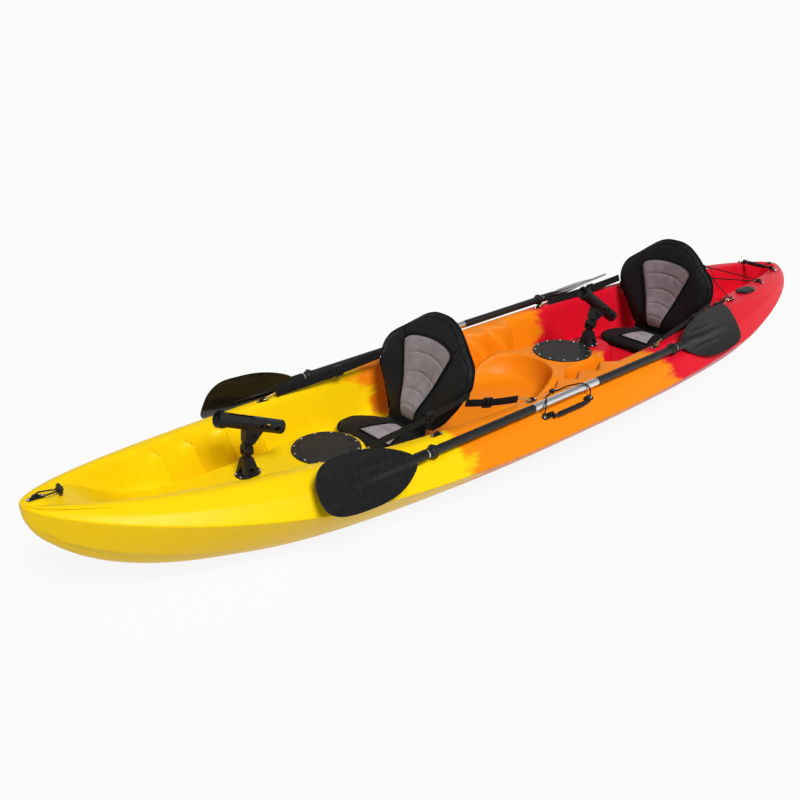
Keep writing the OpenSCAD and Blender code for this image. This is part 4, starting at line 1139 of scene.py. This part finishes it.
def paddle_z(x):
    return PADDLE_Z + LEDGE_SLOPE * (x - PADDLE_MID)


def blade_half(t):
    """Half width of the blade along its length, with a blunt tip."""
    grow = np.maximum(0.0001, 1 - (1 - np.minimum(1, t / 0.6)) ** 2.2) ** 0.75
    end = np.maximum(0.0, 1 - np.clip((t - 0.5) / 0.5, 0, None) ** 4.4) ** 0.36
    return BLADE_HALF * grow * end


def blade_mesh():
    """A dished blade with a spine, and the socket that takes the shaft."""
    rows, n = 60, 36
    rings = []
    for r in range(rows + 1):
        t = 0.04 + 0.959 * math.sin(math.pi / 2 * r / rows)
        a = np.linspace(-1, 1, n + 1)
        half = blade_half(t)
        y = a * half - 7 * ease(0.35, 1, t)
        x = 34 + 388 * t + 16 * a * half / BLADE_HALF * ease(0.6, 1, t) - 14 * ease(0.6, 1, t)
        wide = np.abs(y) / BLADE_HALF
        dish = 13 * wide ** 2 * ease(0, 0.5, t) + 10 * t * t
        spine = 9 * np.exp(-(wide / 0.13) ** 2) * (1 - ease(0.3, 0.9, t))
        ribs = 3 * np.exp(-((wide - 0.34) / 0.06) ** 2) * ease(0.15, 0.3, t) * (1 - ease(0.45, 0.7, t))
        spine = spine + ribs
        thin = 2.2 - 1.2 * np.abs(a) ** 6
        top = np.stack([x, y, dish + thin + spine], 1)
        low = np.stack([x, y, dish - thin - 0.7 * spine], 1)
        rings.append(np.concatenate([top, low[::-1]]))
    blade = facing(*skin(np.array(rings)))
    x = np.concatenate([[0, 0.6, 2, 6], np.linspace(10, 226, 28), [230]])
    radius = np.interp(x, [0, 0.6, 2, 60, 230], [15.6, 16.6, 17, 17, 5])
    socket = facing(*tube(np.stack([x, 0 * x, 0 * x], 1), radius, 28))
    return join([(0, blade), (0, socket)])[:2]


def paddle_matrix(side):
    x = PADDLE_MID + side * PADDLE_SHIFT
    at = Matrix.Translation((x, side * PADDLE_Y, paddle_z(x)))
    return at @ Matrix.Rotation(-math.atan(LEDGE_SLOPE), 4, "Y")


def make_blades(side):
    name = side_name(side)
    roll = (40, 58) if side > 0 else (66, 26)
    verts, faces = blade_mesh()
    parts = []
    for k in (0, 1):
        flip = 1 if (k == 0) == (side > 0) else -1
        m = paddle_matrix(side) @ Matrix.Rotation(math.pi * k, 4, "Z")
        m = m @ Matrix.Translation((BLADE_START, 0, 0))
        m = m @ Matrix.Rotation(math.radians(-side * roll[k] * (1 if k == 0 else -1)), 4, "X")
        v = np.asarray(verts) * [1, flip, 1]
        v = v @ np.array(m.to_3x3()).T + np.array(m.translation)
        f = faces if flip > 0 else [g[::-1] for g in faces]
        parts.append((0, (v, f)))
    verts, faces, _ = join(parts)
    blades = mesh_object(name + "_blades", verts * MM, faces, [BLADE], sharp=50)
    finish_piece(blades, name + "_paddle", "blade_plastic", name + "_paddle_blades")


for each in (1, -1):
    make_blades(each)


# Bungees and cords
def ledge_point(x, d, h):
    s = float(ledge_angle(x))
    y = float(fold_y(x)) - d * math.cos(s) + h * math.sin(s)
    z = float(fold_z(x)) + d * math.sin(s) + h * math.cos(s)
    return np.array([x, y, z])


KEEPER_X = 160


def keeper_half(s):
    """Route of half a keeper, from the ledge over the shaft to the stud; s is 1 fore and -1 aft."""
    y = float(rim_mid(KEEPER_X))
    z = float(rim_z(KEEPER_X)) + 6.5
    up = 18.5
    r = 8.4
    x = (270 if s > 0 else 50) + s * 10
    pz = float(paddle_z(x))
    c20, s20 = math.cos(math.radians(20)), math.sin(math.radians(20))
    c35, s35 = math.cos(math.radians(35)), math.sin(math.radians(35))
    return [
        ledge_point(x, 25, 7.7), ledge_point(x - s * 2, 29, 22),
        np.array([x - s * 7, PADDLE_Y + up + 1, pz + 5]),
        np.array([x - s * 15, PADDLE_Y + 13, pz + up - 4.5]),
        np.array([x - s * 28, PADDLE_Y, pz + up + 0.5]),
        np.array([x - s * 44, PADDLE_Y - 13, pz + up - 3.5]),
        np.array([x - s * 72, PADDLE_Y - 28, pz + up - 8]),
        np.array([KEEPER_X + s * 18, y + 9, z + 1]),
        np.array([KEEPER_X + s * r * c20, y + r * s20, z]),
        np.array([KEEPER_X + s * r * c35, y - r * s35, z]),
        np.array([KEEPER_X, y - r, z]),
    ]


def make_keeper(side):
    """A keeper in four legs, each a tube along its own run of the route."""
    name = side_name(side)
    points = np.array(keeper_half(1) + keeper_half(-1)[-2::-1]) * [1, side, 1]
    steps = 6
    path = spline(points, steps)
    last = len(points) - 1
    legs = [
        ("fore_outer", 0, 4, points[0], points[2]),
        ("fore_inner", 4, 10, points[7], (points[5] + points[6]) / 2),
        ("aft_inner", 10, last - 4, points[last - 7], (points[last - 5] + points[last - 6]) / 2),
        ("aft_outer", last - 4, last, points[last], points[last - 2]),
    ]
    for leg, low, high, held, lifted in legs:
        verts, faces = facing(*tube(path[low * steps:high * steps + 1], 2.5, 12))
        cord = mesh_object("%s_keeper_%s" % (name, leg), verts * MM, faces, [CORD])
        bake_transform(cord)
        if low == 0:
            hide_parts(name + "_keeper_bungee")


def make_lace():
    def front(side):
        p = np.array([-1138.2, side * float(rim_mid(-1135)), float(rim_z(-1135)) + 6.2])
        s = np.array([0, side, 0])
        return [p + 12 * s, p + 4 * s, p - 4 * s, p - [3, side * 12, 0]]

    def rear(side):
        p = np.array([-1470, side * float(rim_mid(-1470)), float(rim_z(-1470)) + 6.2])
        return [p + [14, -side * 7, 0], p + [4, 0, 0], p - [4, 0, 0], p - [11, side * 9, 0]]

    last = front(-1)[::-1]
    aft = rear(1)[::-1]
    route = front(1) + rear(-1) + aft + [(aft[3] + last[0]) / 2 + [0, 0, 8]] + last
    verts, faces = facing(*tube(chaikin(route, 2), 2.5, 12))
    lace = mesh_object("cargo_lace", verts * MM, faces, [CORD])
    finish_piece(lace, "hull_body", "cord", "cargo_bungee")


def make_bow_cord():
    tip = BOW - 44
    x0 = tip - 62 + 6.9
    knob_x = tip - 62
    z0 = float(deck_z(np.array([knob_x]), np.array([0.0]))[0]) + 18
    z1 = 361 + 5.8
    half = [
        (x0, 4, z0), (mix(x0, tip, 0.3), 11, mix(z0, z1, 0.45)), (mix(x0, tip, 0.7), 15, z1 + 1.5),
        (tip - 8, 14, z1 + 0.6), (tip - 1, 8, z1),
    ]
    route = [(x, -y, z) for x, y, z in half] + [(tip, 0, z1)] + half[::-1]
    verts, faces = facing(*tube(chaikin(route, 2), 2.0, 12))
    cord = mesh_object("bow_loop", verts * MM, faces, [CORD])
    finish_piece(cord, "bow_pull", "cord", "bow_cord")


for each in (1, -1):
    make_keeper(each)
make_lace()
make_bow_cord()

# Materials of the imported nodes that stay
NODE_MATERIALS = {"hatch_screws": STEEL, "deck_rivets": STEEL, "rod_screws": STEEL}
for place in ("front", "rear"):
    NODE_MATERIALS[place + "_hatch_lid"] = LID
    NODE_MATERIALS[place + "_hatch_gasket"] = SEAL
    NODE_MATERIALS[place + "_seat_clips"] = BRASS
for place in ("port", "starboard"):
    NODE_MATERIALS[place + "_paddle_shaft"] = SHAFT
    NODE_MATERIALS[place + "_paddle_grips"] = GRIP
    NODE_MATERIALS[place + "_paddle_rings"] = GRIP
for key, obj in nodes.items():
    if obj.hide_render:
        continue
    obj.data.materials.clear()
    obj.data.materials.append(NODE_MATERIALS.get(key, BLACK))


# Floor, backdrop and light
def stage_node(tree, kind, *inputs, **settings):
    """A node of the stage; inputs are pairs of a socket's key and its value, or the output that feeds it."""
    node = tree.nodes.new("ShaderNode" + kind)
    for key, value in settings.items():
        setattr(node, key, value)
    for key, value in inputs:
        if isinstance(value, bpy.types.NodeSocket):
            tree.links.new(value, node.inputs[key])
        else:
            node.inputs[key].default_value = value
    return node


def seen_directly(tree, gloss=None):
    """One where the ray comes from the camera, glass or a gloss; gloss scales the last."""
    path = stage_node(tree, "LightPath")
    glossy = path.outputs["Is Glossy Ray"]
    if gloss is not None:
        glossy = stage_node(tree, "Math", (0, glossy), (1, gloss), operation="MULTIPLY").outputs[0]
    total = path.outputs["Is Camera Ray"]
    for other in (glossy, path.outputs["Is Transmission Ray"]):
        total = stage_node(tree, "Math", (0, total), (1, other), operation="MAXIMUM").outputs[0]
    return total


def low_sky(tree):
    """One at the horizon, falling to nought overhead, so that dark gloss keeps its depth."""
    way = stage_node(tree, "TexCoord").outputs["Generated"]
    high = stage_node(tree, "SeparateXYZ", (0, way)).outputs[2]
    ends = (("From Min", 0.15), ("From Max", 0.65), ("To Min", 1.0), ("To Max", 0.0))
    fade = stage_node(tree, "MapRange", ("Value", high), *ends, interpolation_type="SMOOTHSTEP")
    return fade.outputs[0]


def mixed(tree, factor, first, second):
    ways = ((0, factor), (1, first.outputs[0]), (2, second.outputs[0]))
    return stage_node(tree, "MixShader", *ways).outputs[0]


def make_stage():
    mat = bpy.data.materials.new("studio_floor")
    mat.use_nodes = True
    tree = mat.node_tree
    tree.nodes.clear()
    plain = stage_node(tree, "BsdfDiffuse", ("Color", (0.66, 0.64, 0.60, 1)))
    glow = stage_node(tree, "Emission", ("Strength", 1.0))
    part = stage_node(tree, "Math", (0, seen_directly(tree)), (1, 0.90), operation="MULTIPLY")
    stage_node(tree, "OutputMaterial", (0, mixed(tree, part.outputs[0], plain, glow)))
    s = 90.0
    low = -0.0006
    square = [(-s, -s, low), (s, -s, low), (s, s, low), (-s, s, low)]
    floor = mesh_object("floor", square, [(0, 1, 2, 3)], [mat])

    # The sky seen directly has the floor's own tone, and the lighting part is softer
    world = bpy.data.worlds.new("studio")
    world.use_nodes = True
    scene.world = world
    tree = world.node_tree
    tree.nodes.clear()
    soft = stage_node(tree, "Background", ("Color", (1, 1, 1, 1)), ("Strength", 0.27))
    white = stage_node(tree, "Background", ("Color", (0.975, 0.973, 0.965, 1)))
    sky = mixed(tree, seen_directly(tree, low_sky(tree)), soft, white)
    stage_node(tree, "OutputWorld", (0, sky))

    sun = bpy.data.lights.new("key", "SUN")
    sun.energy = 3.0
    sun.angle = math.radians(22)
    lamp = bpy.data.objects.new("key", sun)
    scene.collection.objects.link(lamp)
    lamp.rotation_euler = Vector((-0.16, -0.82, -1.0)).to_track_quat("-Z", "Y").to_euler()
    scene.view_settings.view_transform = "Standard"


make_stage()
